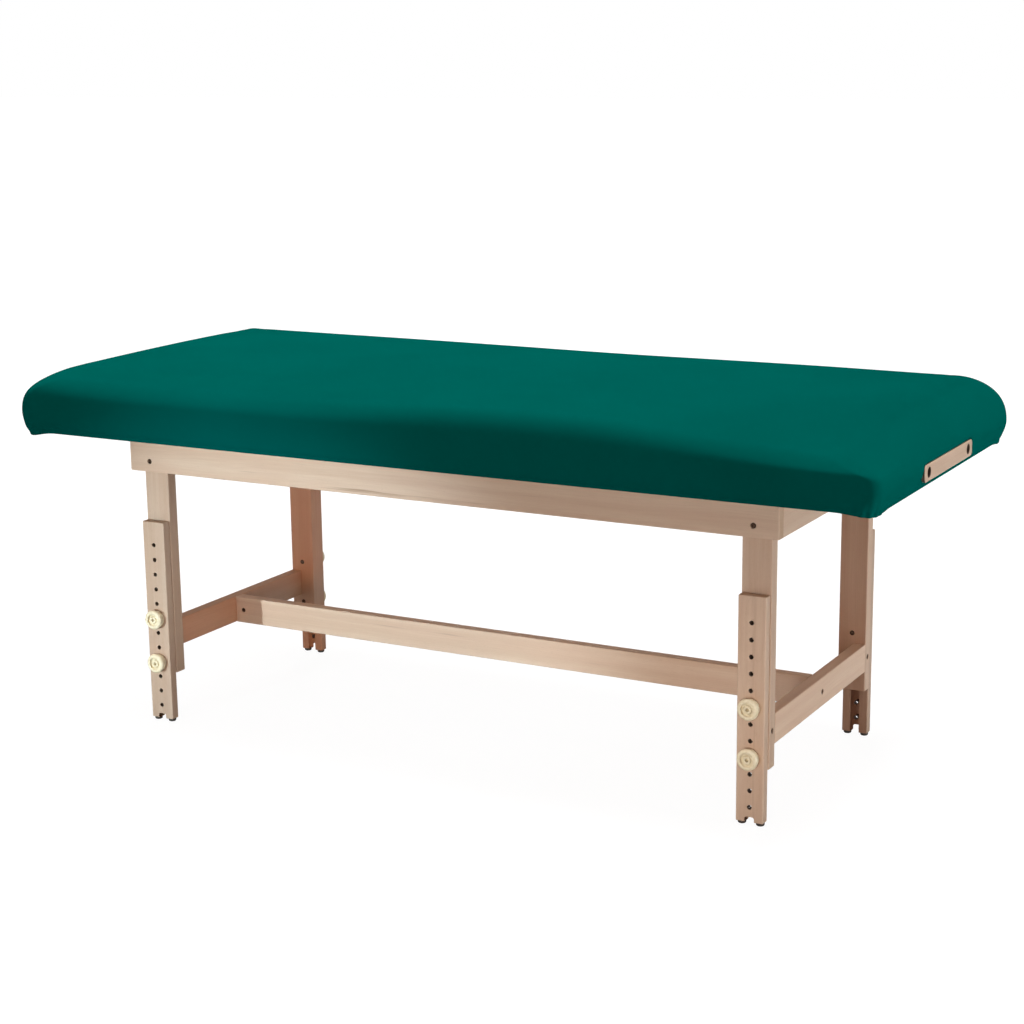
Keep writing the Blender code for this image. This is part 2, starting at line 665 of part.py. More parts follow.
def crown_profile():
    """(end inset, side inset, height) from the rolled edges in to the middle of the top."""
    edge = DECK_BOTTOM + TOP_THICKNESS - TOP_CROWN
    inner_corner = TOP_CORNER + TOP_CORNER_GROWTH * END_ROLL
    reach = TOP_WIDTH / 2 - inner_corner - CROWN_RIDGE / 2 - SIDE_ROLL
    profile = []
    for step in range(1, CROWN_STEPS + 1):
        share = step / CROWN_STEPS
        rise = 1 - (1 - share) ** 2
        profile.append((END_ROLL + reach * share, SIDE_ROLL + reach * share, edge + TOP_CROWN * rise))
    return profile


def cushion_blank():
    bm = bmesh.new()
    loops = []
    for insets_and_height in side_profile() + crown_profile():
        verts = [bm.verts.new(point) for point in ring_points(*insets_and_height)]
        loops.append([bm.edges.new((a, b)) for a, b in zip(verts, verts[1:] + verts[:1])])
    for lower, upper in zip(loops, loops[1:]):
        bmesh.ops.bridge_loops(bm, edges=lower + upper)
    for loop in (loops[0], loops[-1]):
        bmesh.ops.contextual_create(bm, geom=loop)
    bmesh.ops.recalc_face_normals(bm, faces=bm.faces)
    return finish_mesh("cushion_blank", bm)


def plate_mesh(name, grow, x_low, x_high):
    """The outlet plate's rounded outline, between two planes of x."""
    bm = bmesh.new()
    bmesh.ops.create_cube(bm, size=1)
    size = (x_high - x_low, PLATE_WIDTH + 2 * grow, PLATE_HEIGHT + 2 * grow)
    bmesh.ops.scale(bm, vec=size, verts=bm.verts)
    bmesh.ops.translate(bm, vec=((x_low + x_high) / 2, 0, SOCKET_Z), verts=bm.verts)
    corners = [edge for edge in bm.edges if edge.verts[0].co.x != edge.verts[1].co.x]
    bmesh.ops.bevel(bm, geom=corners, offset=PLATE_CORNER + grow, segments=4, profile=0.5, affect="EDGES")
    return finish_mesh(name, bm)


PLATE_FACE_X = TOP_LENGTH / 2
PLATE_BACK_X = PLATE_FACE_X - PLATE_THICKNESS
PAST_FACE_X = PLATE_FACE_X + OVERSHOOT
deck_pocket = deck_mesh("deck_pocket", FIT, DECK_BOTTOM - OVERSHOOT, TOP_RAIL_BOTTOM)
plate_seat = plate_mesh("plate_seat", FIT, PLATE_BACK_X - FIT, PAST_FACE_X)
wall_bores = socket_cutters(SOCKET_DIAMETER + 2 * FIT, BOX_HALF_LENGTH - OVERSHOOT, PAST_FACE_X)
cushion = shaped("upholstered_top", cushion_blank(), [deck_pocket, *pockets, plate_seat, *wall_bores])
cushion.shade_smooth()
cushion.set_sharp_from_angle(angle=SMOOTH_ANGLE)
link("upholstered_top", cushion, VINYL, TABLE)

plate_blank = plate_mesh("plate_blank", 0, PLATE_BACK_X, PLATE_FACE_X)
plate_bores = socket_cutters(SOCKET_DIAMETER, PLATE_BACK_X - OVERSHOOT, PAST_FACE_X)
link("cradle_outlet_plate", shaped("cradle_outlet_plate", plate_blank, plate_bores), MAPLE, TABLE)
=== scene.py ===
import math

import bmesh
import bpy
import numpy as np
from mathutils import Euler, Matrix, Vector, noise


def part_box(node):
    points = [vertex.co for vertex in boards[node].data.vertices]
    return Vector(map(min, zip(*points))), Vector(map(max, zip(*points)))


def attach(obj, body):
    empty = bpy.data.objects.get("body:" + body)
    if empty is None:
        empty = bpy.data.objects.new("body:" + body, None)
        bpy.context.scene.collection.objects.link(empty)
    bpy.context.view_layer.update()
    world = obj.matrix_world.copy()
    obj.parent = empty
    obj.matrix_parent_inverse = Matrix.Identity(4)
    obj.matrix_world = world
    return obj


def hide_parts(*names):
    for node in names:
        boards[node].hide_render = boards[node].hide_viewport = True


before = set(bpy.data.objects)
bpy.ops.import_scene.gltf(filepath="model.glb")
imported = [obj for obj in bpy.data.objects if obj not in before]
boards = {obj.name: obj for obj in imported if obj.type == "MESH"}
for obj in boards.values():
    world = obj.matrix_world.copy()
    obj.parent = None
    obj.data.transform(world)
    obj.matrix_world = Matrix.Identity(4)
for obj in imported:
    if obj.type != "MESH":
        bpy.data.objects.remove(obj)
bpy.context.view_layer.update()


# Base boards
# Aprons, fixed legs, end rails and stretcher: planed hard maple with eased edges under a satin lacquer.
# The aprons box in the tops of the legs, the rails are tenoned into the legs, and bolts draw it all tight.

def add_node(tree, kind, inputs=None, **settings):
    """One node: its settings first, then its inputs, each a value or the socket that feeds it."""
    node = tree.nodes.new(kind)
    for key, value in settings.items():
        setattr(node, key, value)
    for key, value in (inputs or {}).items():
        if isinstance(value, bpy.types.NodeSocket):
            tree.links.new(value, node.inputs[key])
        else:
            node.inputs[key].default_value = value
    return node


def node_group(name, kind, inputs, outputs):
    """An empty group with named sockets, and the nodes at its two ends."""
    tree = bpy.data.node_groups.new(name, kind)
    for way, sockets in (("INPUT", inputs), ("OUTPUT", outputs)):
        for label, socket in sockets.items():
            tree.interface.new_socket(label, in_out=way, socket_type="NodeSocket" + socket)
    return tree, tree.nodes.new("NodeGroupInput").outputs, tree.nodes.new("NodeGroupOutput").inputs


def maths(tree, operation, *values):
    return add_node(tree, "ShaderNodeMath", dict(enumerate(values)), operation=operation).outputs[0]


def vectors(tree, operation, *values):
    return add_node(tree, "ShaderNodeVectorMath", dict(enumerate(values)), operation=operation).outputs


def soft_step(tree, value, low, high):
    """0 below low and 1 above high, with a soft step between."""
    limits = {0: value, 1: low, 2: high}
    return add_node(tree, "ShaderNodeMapRange", limits, interpolation_type="SMOOTHSTEP").outputs[0]


def tinted(tree, share, first, second):
    """The first colour, with a share of the second laid over it."""
    colours = {0: share, 6: first, 7: second}
    return add_node(tree, "ShaderNodeMix", colours, data_type="RGBA").outputs[2]


def drawn_noise(tree, place, per_metre, detail=2.0):
    """Noise with so many features to the metre along each axis."""
    scaled = vectors(tree, "MULTIPLY", place, per_metre)[0]
    settings = {"Vector": scaled, "Scale": 1.0, "Detail": detail, "Roughness": 0.6}
    return add_node(tree, "ShaderNodeTexNoise", settings).outputs[0]


def new_finish(name):
    """A finish, with its node tree and its shader."""
    finish = bpy.data.materials.new(name)
    finish.use_nodes = True
    tree = finish.node_tree
    return finish, tree, tree.nodes["Principled BSDF"]


def finish_off(tree, shader, colour, roughness, relief, plain):
    """Feeds a shader its colour, roughness and relief (height, strength, distance), and sets plain values."""
    bump = add_node(tree, "ShaderNodeBump", dict(zip(("Height", "Strength", "Distance"), relief)))
    for socket, source in (("Base Color", colour), ("Roughness", roughness), ("Normal", bump.outputs[0])):
        tree.links.new(source, shader.inputs[socket])
    for socket, value in plain.items():
        shader.inputs[socket].default_value = value


GRAIN_WANDER = 0.060
RING_SPACING = 0.0046
RING_SHARPNESS = 4.0


def maple_figure():
    """Hard maple with its grain along X and the tree's heart on the X axis."""
    light, middle, dark = (0.79, 0.59, 0.43, 1), (0.71, 0.495, 0.345, 1), (0.55, 0.345, 0.215, 1)
    mineral, end_grain, rosy = (0.36, 0.20, 0.115, 1), (0.50, 0.31, 0.19, 1), (0.70, 0.45, 0.32, 1)
    tree, given, result = node_group(
        "maple figure", "ShaderNodeTree",
        {"Place": "Vector", "Face": "Vector", "Tone": "Float", "Stain": "Float"},
        {"Color": "Color", "Roughness": "Float", "Height": "Float"},
    )
    place = given["Place"]
    fibres = drawn_noise(tree, place, (15, 900, 900), 3)
    streaks = drawn_noise(tree, place, (1.4, 46, 46), 4)
    wander = drawn_noise(tree, place, (1.5, 9, 9), 2)
    stains = drawn_noise(tree, place, (1.9, 64, 64), 3)
    flecks = drawn_noise(tree, place, (120, 1500, 1500), 1)
    clouds = drawn_noise(tree, place, (5, 26, 26), 3)
    across = vectors(tree, "MULTIPLY", place, (0, 1, 1))[0]
    from_heart = vectors(tree, "LENGTH", across)["Value"]
    bent = maths(tree, "MULTIPLY_ADD", wander, GRAIN_WANDER, from_heart)
    growth = maths(tree, "FRACT", maths(tree, "DIVIDE", bent, RING_SPACING))
    ring = maths(tree, "POWER", growth, RING_SHARPNESS)
    along = add_node(tree, "ShaderNodeSeparateXYZ", {0: given["Face"]}).outputs[0]
    ends = soft_step(tree, maths(tree, "ABSOLUTE", along), 0.55, 0.9)
    colour = tinted(tree, soft_step(tree, streaks, 0.30, 0.68), light, middle)
    for mask, share, tint in (
        (soft_step(tree, clouds, 0.35, 0.7), 0.28, rosy),
        (ring, 0.11, dark),
        (soft_step(tree, fibres, 0.46, 0.74), 0.17, dark),
        (soft_step(tree, flecks, 0.63, 0.72), 0.35, dark),
        (soft_step(tree, stains, 0.64, 0.75), given["Stain"], mineral),
        (ends, 0.62, end_grain),
    ):
        colour = tinted(tree, maths(tree, "MULTIPLY", mask, share), colour, tint)
    toned = add_node(tree, "ShaderNodeHueSaturation", {"Value": given["Tone"], "Color": colour})
    tree.links.new(toned.outputs[0], result["Color"])
    matt = maths(tree, "MULTIPLY_ADD", fibres, 0.14, 0.30)
    tree.links.new(maths(tree, "MULTIPLY_ADD", ends, 0.18, matt), result["Roughness"])
    tree.links.new(maths(tree, "MULTIPLY_ADD", ring, 0.4, fibres), result["Height"])
    return tree


def worn_and_highlit_edges():
    """Where hands and straps have rubbed the eased edges of a board that lies square in the frame; the same
    mask lightens those edges as a painted highlight.
    """
    tree, given, result = node_group(
        "worn edges", "ShaderNodeTree",
        {"Place": "Vector", "Middle": "Vector", "Half": "Vector", "Reach": "Float"},
        {"Mask": "Float"},
    )
    offset = vectors(tree, "ABSOLUTE", vectors(tree, "SUBTRACT", given["Place"], given["Middle"])[0])[0]
    depth = vectors(tree, "SUBTRACT", given["Half"], offset)[0]
    x, y, z = add_node(tree, "ShaderNodeSeparateXYZ", {0: depth}).outputs
    less, more = maths(tree, "MINIMUM", x, y), maths(tree, "MAXIMUM", x, y)
    to_edge = maths(tree, "MAXIMUM", less, maths(tree, "MINIMUM", more, z))
    near = maths(tree, "SUBTRACT", 1.0, soft_step(tree, to_edge, 0.0, given["Reach"]))
    patches = soft_step(tree, drawn_noise(tree, given["Place"], (45, 45, 45), 3), 0.38, 0.66)
    tree.links.new(maths(tree, "MULTIPLY", near, patches), result["Mask"])
    return tree


MAPLE_FIGURE = maple_figure()
WORN_AND_HIGHLIT_EDGES = worn_and_highlit_edges()
WORN_AND_HIGHLIT_REACH = 0.0045
# Pale rubbed lacquer on the eased edges, lightened further as a painted highlight of the rounding.
RUBBED_AND_HIGHLIT_COLOUR = (0.80, 0.63, 0.47, 1)
LACQUER = {"Specular IOR Level": 0.35, "Coat Weight": 0.12, "Coat Roughness": 0.28}
BOARD_STEP = 2.7
HEART_TURN = 2.4
HEART_DISTANCE = 0.085


def maple(name, low, high, grain, seed, tone=1.0, stain=0.35):
    """Lacquered maple for one board between two corners, cut from its own place in the tree."""
    turn = {"x": (0, 0, 0), "y": (0, 0, -math.pi / 2), "z": (0, math.pi / 2, 0)}[grain]
    bearing = HEART_TURN * seed
    off_heart = (HEART_DISTANCE * math.cos(bearing), HEART_DISTANCE * math.sin(bearing))
    heart = Vector((BOARD_STEP * seed, *off_heart))
    middle = (low + high) / 2
    finish, tree, shader = new_finish(name)
    surface = add_node(tree, "ShaderNodeTexCoord").outputs
    shift = heart - Euler(turn).to_matrix() @ middle
    placed = {"Vector": surface["Object"], "Location": shift, "Rotation": turn}
    place = add_node(tree, "ShaderNodeMapping", placed).outputs[0]
    turned_face = {"Vector": surface["Normal"], "Rotation": turn}
    face = add_node(tree, "ShaderNodeMapping", turned_face, vector_type="VECTOR").outputs[0]
    values = {"Place": place, "Face": face, "Tone": tone, "Stain": stain}
    figure = add_node(tree, "ShaderNodeGroup", values, node_tree=MAPLE_FIGURE).outputs
    values = {"Place": surface["Object"], "Middle": middle, "Half": (high - low) / 2, "Reach": WORN_AND_HIGHLIT_REACH}
    worn = add_node(tree, "ShaderNodeGroup", values, node_tree=WORN_AND_HIGHLIT_EDGES).outputs[0]
    # Edges lighten towards that colour: partly rubbed lacquer, partly a painted highlight on the rounding.
    colour = tinted(tree, maths(tree, "MULTIPLY", worn, 0.25), figure["Color"], RUBBED_AND_HIGHLIT_COLOUR)
    roughness = maths(tree, "MULTIPLY_ADD", worn, 0.10, figure["Roughness"])
    finish_off(tree, shader, colour, roughness, (figure["Height"], 0.25, 0.0002), LACQUER)
    return finish


CORNERS = {"front_head": (1, -1), "front_foot": (-1, -1), "back_head": (1, 1), "back_foot": (-1, 1)}
BASE_GRAIN = {
    "long_apron_front": "x", "long_apron_back": "x", "end_apron_head": "y", "end_apron_foot": "y",
    "end_rail_head": "y", "end_rail_foot": "y", "centre_stretcher": "x",
    **{f"upper_leg_{corner}": "z" for corner in CORNERS},
}
STAINED = ("long_apron_front", "centre_stretcher")
BASE_SEED = 1
STRONG_STAIN = 0.8
FAINT_STAIN = 0.3
USUAL_TONE = 0.97
TONE_SPREAD = 0.03
BOARD_TONES = {
    "upper_leg_front_foot": 0.84, "upper_leg_front_head": 0.91,
    "centre_stretcher": 1.08, "end_rail_head": 1.14,
}
for seed, (board, grain) in enumerate(BASE_GRAIN.items()):
    stain = STRONG_STAIN if board in STAINED else FAINT_STAIN
    tone = BOARD_TONES.get(board, USUAL_TONE + TONE_SPREAD * math.sin(5.0 * seed))
    finish = maple(f"maple {board}", *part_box(board), grain, seed + BASE_SEED, tone, stain)
    boards[board].material_slots[0].material = finish


# Joint bolts and barrel nuts
# Blackened socket-head bolts, sunk in counterbores, hold the aprons and rails to the legs.
# Two more run through the end rails into barrel nuts that lie across the stretcher.

BOLT_HEAD = 0.0105
BOLT_HEAD_HEIGHT = 0.005
BOLT_SHANK = 0.006
BOLT_EASE = 0.0005
HEX_CORNERS = 0.0058
HEX_DEPTH = 0.0025
HEX_CENTRE_DEPTH = 0.0028
HEX_CHAMFER = 0.0004
NUT_DIAMETER = 0.010
NUT_EASE = 0.0006
NUT_SLOT = (0.0038, 0.0009)
NUT_SLOT_DEPTH = 0.0014
BOLT_SIDES = 36
NUT_SIDES = 48


def ring_shape(shape, radius, angle):
    """The reach of a ring at an angle: round, a hexagon, or a driver slot."""
    if shape == "hexagon":
        return radius * math.cos(math.pi / 6) / math.cos((angle % (math.pi / 3)) - math.pi / 6)
    if shape == "slot":
        long, wide = NUT_SLOT
        return min(long / max(abs(math.cos(angle)), 1e-6), wide / max(abs(math.sin(angle)), 1e-6))
    return radius


def as_mesh(name, bm):
    mesh = bpy.data.meshes.new(name)
    bm.to_mesh(mesh)
    bm.free()
    return mesh


def shade(mesh, sharp):
    """Smooth shading, broken at edges sharper than an angle in degrees."""
    mesh.shade_smooth()
    mesh.set_sharp_from_angle(angle=math.radians(sharp))


def turned(name, rings, sides, sharp=32):
    """A solid turned about Z from (radius, height) rings that start and end on the axis."""
    bm = bmesh.new()
    loops = []
    for radius, height, *shape in rings:
        if radius == 0:
            loops.append([bm.verts.new((0, 0, height))] * sides)
            continue
        loop = []
        for step in range(sides):
            angle = math.tau * step / sides
            reach = ring_shape(shape[0] if shape else "round", radius, angle)
            loop.append(bm.verts.new((reach * math.cos(angle), reach * math.sin(angle), height)))
        loops.append(loop)
    for lower, upper in zip(loops, loops[1:]):
        for step in range(sides):
            after = (step + 1) % sides
            corners = dict.fromkeys((lower[step], lower[after], upper[after], upper[step]))
            bm.faces.new(list(corners))
    bmesh.ops.recalc_face_normals(bm, faces=bm.faces)
    mesh = as_mesh(name, bm)
    shade(mesh, sharp)
    return mesh


def mottled(name, per_metre, detail, limits, dulling, pits_per_metre):
    """A skin in patches of two colours, the second duller, with fine pits all over."""
    tree, given, result = node_group(
        name, "ShaderNodeTree",
        {"Place": "Vector", "Plain": "Color", "Dulled": "Color", "Roughness": "Float"},
        {"Color": "Color", "Roughness": "Float", "Height": "Float"},
    )
    patches = soft_step(tree, drawn_noise(tree, given["Place"], [per_metre] * 3, detail), *limits)
    pits = drawn_noise(tree, given["Place"], [pits_per_metre] * 3, 2)
    tree.links.new(tinted(tree, patches, given["Plain"], given["Dulled"]), result["Color"])
    tree.links.new(maths(tree, "MULTIPLY_ADD", patches, dulling, given["Roughness"]), result["Roughness"])
    tree.links.new(pits, result["Height"])
    return tree


def mottled_finish(name, skin, colours, roughness, relief, plain):
    """A finish with one of these skins, in its own two colours."""
    finish, tree, shader = new_finish(name)
    place = add_node(tree, "ShaderNodeTexCoord").outputs["Object"]
    first, second = colours
    values = {"Place": place, "Plain": (*first, 1), "Dulled": (*second, 1), "Roughness": roughness}
    worn = add_node(tree, "ShaderNodeGroup", values, node_tree=skin).outputs
    finish_off(tree, shader, worn["Color"], worn["Roughness"], (worn["Height"], relief, 0.0001), plain)
    return finish


METAL_BLOOM = mottled("metal bloom", 320, 4, (0.38, 0.70), 0.2, 2600)


def steel(name, plain, dulled, roughness):
    return mottled_finish(name, METAL_BLOOM, (plain, dulled), roughness, 0.15, {"Metallic": 1.0})


def close_tree(tree, geometry, finish, result):
    """Ends a geometry tree: what it made becomes plain geometry and gets its finish."""
    whole = add_node(tree, "GeometryNodeRealizeInstances", {0: geometry}).outputs[0]
    coated = add_node(tree, "GeometryNodeSetMaterial", {0: whole, "Material": finish}).outputs[0]
    tree.links.new(coated, result[0])
    return tree


def set_out_tree():
    """Copies of one pattern at each point of a mesh, each with the turn that its point carries."""
    tree, given, result = node_group(
        "set out fasteners", "GeometryNodeTree",
        {"Geometry": "Geometry", "Pattern": "Object", "Size": "Float", "Finish": "Material"},
        {"Geometry": "Geometry"},
    )
    turn = add_node(tree, "GeometryNodeInputNamedAttribute", {"Name": "turn"}, data_type="FLOAT_VECTOR")
    pattern = add_node(tree, "GeometryNodeObjectInfo", {"Object": given["Pattern"]}).outputs["Geometry"]
    copies = add_node(tree, "GeometryNodeInstanceOnPoints", {
        "Points": given["Geometry"], "Instance": pattern, "Rotation": turn.outputs[0], "Scale": given["Size"],
    })
    return close_tree(tree, copies.outputs[0], given["Finish"], result)


SET_OUT = set_out_tree()


def in_scene(name, mesh):
    item = bpy.data.objects.new(name, mesh)
    bpy.context.scene.collection.objects.link(item)
    return item


def plain_mesh(item):
    """The object's mesh with its modifiers run; the object goes."""
    bpy.context.view_layer.update()
    graph = bpy.context.evaluated_depsgraph_get()
    mesh = bpy.data.meshes.new_from_object(item.evaluated_get(graph))
    item.modifiers.clear()
    bpy.data.objects.remove(item)
    return mesh


def grown(mesh, tree, values):
    """Runs a geometry tree on a mesh, with its named inputs, and keeps the result as a plain mesh."""
    item = in_scene("growing", mesh)
    step = item.modifiers.new("grow", "NODES")
    step.node_group = tree
    for socket in tree.interface.items_tree:
        if socket.in_out == "INPUT" and socket.name in values:
            step[socket.identifier] = values[socket.name]
    return plain_mesh(item)


def set_out(pattern, places, finish):
    """Copies of a pattern mesh at (point, direction of its Z axis) places, as one mesh."""
    points = bpy.data.meshes.new("places")
    points.from_pydata([place for place, _ in places], [], [])
    turns = points.attributes.new("turn", "FLOAT_VECTOR", "POINT")
    for entry, (_, outward) in zip(turns.data, places):
        entry.vector = outward.to_track_quat("Z", "Y").to_euler()
    model = in_scene("pattern", pattern)
    mesh = grown(points, SET_OUT, {"Pattern": model, "Size": 1.0, "Finish": finish})
    bpy.data.objects.remove(model)
    return mesh


def fitted(name, mesh, body, slot, *stands_for):
    """Puts a finished mesh on its body as a named piece in place of its CAD nodes."""
    mesh.name = name
    item = in_scene(name, mesh)
    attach(item, body)
    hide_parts(*stands_for)
    return item


def socket_bolt(length):
    """Head at the top, its under-face at z = 0, shank below."""
    head, shank, hexagon = BOLT_HEAD / 2, BOLT_SHANK / 2, HEX_CORNERS / 2
    top, ease = BOLT_HEAD_HEIGHT, BOLT_EASE
    return turned("socket bolt", [
        (0, top - HEX_CENTRE_DEPTH),
        (hexagon, top - HEX_DEPTH, "hexagon"),
        (hexagon, top - HEX_CHAMFER, "hexagon"),
        (hexagon + ease, top),
        (head - ease, top),
        (head, top - ease),
        (head, ease),
        (head - ease, 0),
        (shank, 0),
        (shank, -length),
        (0, -length),
    ], BOLT_SIDES)


def barrel_nut(length):
    """Centred on the origin, with a driver slot in its upper end."""
    full, half, ease = NUT_DIAMETER / 2, length / 2, NUT_EASE
    return turned("barrel nut", [
        (0, -half),
        (full - ease, -half),
        (full, ease - half),
        (full, half - ease),
        (full - ease, half),
        (1, half, "slot"),
        (1, half - NUT_SLOT_DEPTH, "slot"),
        (0, half - NUT_SLOT_DEPTH),
    ], NUT_SIDES)


def end_of(node, outward):
    """The middle of a CAD node's face on one side."""
    low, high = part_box(node)
    half = (high - low) / 2
    return (low + high) / 2 + Vector(a * b for a, b in zip(outward, half))


BLACKENED = steel("blackened steel", (0.125, 0.075, 0.050), (0.060, 0.037, 0.025), 0.44)
BOLT_GROUPS = {
    "apron_bolts": {f"apron_bolt_{name}": Vector((0, side, 0)) for name, (_, side) in CORNERS.items()},
    "rail_bolts": {f"rail_bolt_{name}": Vector((end, 0, 0)) for name, (end, _) in CORNERS.items()},
    "stretcher_bolts": {"stretcher_bolt_head": Vector((1, 0, 0)), "stretcher_bolt_foot": Vector((-1, 0, 0))},
}
for group, bolts in BOLT_GROUPS.items():
    places = [(end_of(node, out) - out * BOLT_HEAD_HEIGHT, out) for node, out in bolts.items()]
    first, outward = next(iter(bolts.items()))
    length = (end_of(first, outward) - end_of(first, -outward)).length - BOLT_HEAD_HEIGHT
    fitted(group, set_out(socket_bolt(length), places, BLACKENED), "table_frame", "black_steel", *bolts)

nut_low, nut_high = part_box("barrel_nut_head")
nuts = ("barrel_nut_head", "barrel_nut_foot")
nut_places = [(sum(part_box(node), Vector()) / 2, Vector((0, -1, 0))) for node in nuts]
nut_mesh = set_out(barrel_nut(nut_high.y - nut_low.y), nut_places, BLACKENED)
fitted("barrel_nuts", nut_mesh, "table_frame", "zinc_steel", *nuts)


# Carriage bolts
# Eight dark domed bolts pass through the fixed legs, two to a leg, with their heads on the inner face.
# The knobs screw on to their outer ends, which show in the middle of each knob.

DOME_HEIGHT = 0.003
DOME_RADIUS = 0.0050
DOME_STEPS = 8
CARRIAGE_SHANK = 0.004


def carriage_bolt(length):
    """Head at the top, its flat under-face at z = 0, shank below."""
    dome = []
    for step in range(DOME_STEPS + 1):
        angle = math.pi / 2 * step / DOME_STEPS
        dome.append((DOME_RADIUS * math.sin(angle), DOME_HEIGHT * math.cos(angle)))
    shank = [(CARRIAGE_SHANK, 0), (CARRIAGE_SHANK, -length), (0, -length)]
    return turned("carriage bolt", dome + shank, BOLT_SIDES)


LEVELS = ("upper", "lower")
carriage_places = []
carriage_nodes = []
for name, (_, side) in CORNERS.items():
    inward = Vector((0, -side, 0))
    for level in LEVELS:
        node = f"clamp_bolt_{name}_{level}"
        carriage_nodes.append(node)
        carriage_places.append((end_of(node, inward) - inward * DOME_HEIGHT, inward))
bolt_low, bolt_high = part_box(carriage_nodes[0])
carriage_mesh = set_out(carriage_bolt(bolt_high.y - bolt_low.y - DOME_HEIGHT), carriage_places, BLACKENED)
fitted("carriage_bolts", carriage_mesh, "table_frame", "black_steel", *carriage_nodes)


# Sliding legs
# Four maple legs that slide on a key of the fixed legs, grooved inside and drilled with twelve holes.
# Each foot is notched in the middle; the holes are bored from the face and lightly eased, and their walls are
# painted dark as shade.

LEG_EASE = 0.0022
HOLE_COUNT = 12
HOLE_PITCH = 0.03175
HOLE_DIAMETER = 0.0082
HOLE_EASE = 0.0005
FIRST_HOLE = 0.0295
DRILL_SIDES = 40
GROOVE_WIDTH = 0.018
GROOVE_DEPTH = 0.007
GROOVE_EASE = 0.0008
GROOVE_PAST_FACE = 0.01
GROOVE_PAST_ENDS = 0.03
NOTCH_HEIGHT = 0.0105
NOTCH_ROUND = 0.004
NOTCH_SPARE = 0.0003
NOTCH_PAST = 0.02
WALL_TILT = 0.9
WALL_REACH = 0.62
LEG_SEED = 21
LEG_STAIN = 0.2
HOLE_SHADE_TONE = 0.16
LEG_TONES = {"front_head": 0.93, "front_foot": 0.80, "back_head": 0.86, "back_foot": 0.94}


def eased_box(name, low, high, ease, segments=3, along=None):
    """A box with its edges rounded: all of them, or only those that run along one axis."""
    low, high = Vector(low), Vector(high)
    bm = bmesh.new()
    bmesh.ops.create_cube(bm, size=1)
    bmesh.ops.scale(bm, vec=high - low, verts=bm.verts)
    bmesh.ops.translate(bm, vec=(low + high) / 2, verts=bm.verts)
    edges = bm.edges[:]
    if along is not None:
        edges = [edge for edge in edges if abs((edge.verts[0].co - edge.verts[1].co)[along]) > 1e-6]
    bmesh.ops.bevel(bm, geom=edges, offset=ease, segments=segments, profile=0.5, affect="EDGES")
    return as_mesh(name, bm)


def drilled_tree():
    """A row of eased holes bored through a board from its face, and other cuts taken from it."""
    tree, given, result = node_group(
        "drilled board", "GeometryNodeTree",
        {"Geometry": "Geometry", "Groove": "Object", "Notch": "Object", "Count": "Int", "First": "Vector",
         "Pitch": "Vector", "Turn": "Vector", "Diameter": "Float", "Ease": "Float", "Depth": "Float",
         "Finish": "Material"},
        {"Geometry": "Geometry"},
    )
    row = add_node(tree, "GeometryNodeMeshLine", {
        "Count": given["Count"], "Start Location": given["First"], "Offset": given["Pitch"],
    }).outputs[0]
    radius = maths(tree, "MULTIPLY", given["Diameter"], 0.5)
    mouth = maths(tree, "MULTIPLY_ADD", given["Ease"], 2.0, radius)
    drill = add_node(tree, "GeometryNodeMeshCylinder", {
        "Vertices": DRILL_SIDES, "Radius": radius, "Depth": given["Depth"],
    }).outputs[0]
    rose = add_node(tree, "GeometryNodeMeshCone", {
        "Vertices": DRILL_SIDES, "Radius Top": mouth, "Radius Bottom": maths(tree, "MULTIPLY", radius, 0.98),
        "Depth": maths(tree, "MULTIPLY", given["Ease"], 2.0),
    }).outputs[0]
    depth = maths(tree, "MULTIPLY", given["Ease"], -1.0)
    sunk = add_node(tree, "ShaderNodeCombineXYZ", {2: depth}).outputs[0]
    rose = add_node(tree, "GeometryNodeTransform", {0: rose, "Translation": sunk}).outputs[0]
    cutters = []
    for tool in (drill, rose):
        copies = add_node(tree, "GeometryNodeInstanceOnPoints", {
            "Points": row, "Instance": tool, "Rotation": given["Turn"],
        })
        cutters.append(add_node(tree, "GeometryNodeRealizeInstances", {0: copies.outputs[0]}).outputs[0])
    for cut in ("Groove", "Notch"):
        cutters.append(add_node(tree, "GeometryNodeObjectInfo", {"Object": given[cut]}).outputs["Geometry"])
    work = given["Geometry"]
    for cutter in cutters:
        cut = add_node(tree, "GeometryNodeMeshBoolean", {
            "Mesh 1": work, "Mesh 2": cutter, "Self Intersection": True,
        }, operation="DIFFERENCE", solver="EXACT")
        work = cut.outputs[0]
    return close_tree(tree, work, given["Finish"], result)


DRILLED = drilled_tree()


def crisp(mesh, sharp=30):
    """Smooth eased edges beside faces that stay flat."""
    shade(mesh, sharp)
    item = in_scene("shading", mesh)
    step = item.modifiers.new("weigh", "WEIGHTED_NORMAL")
    step.keep_sharp = True
    return plain_mesh(item)


def darkened(mesh, finish, chosen):
    """Gives the faces that are chosen by their middle and normal a darker finish of their own, as painted
    shade in hollows.
    """
    mesh.materials.append(finish)
    for face in mesh.polygons:
        if chosen(face.center, face.normal):
            face.material_index = len(mesh.materials) - 1


def in_leg_hole(middle, normal):
    """True on the wall of one of the leg's holes, which gets painted shade."""
    index = min(max(round((middle.z - FIRST_HOLE) / HOLE_PITCH), 0), HOLE_COUNT - 1)
    from_axis = math.hypot(middle.x, middle.z - FIRST_HOLE - HOLE_PITCH * index)
    return abs(normal.y) < WALL_TILT and from_axis < HOLE_DIAMETER * WALL_REACH


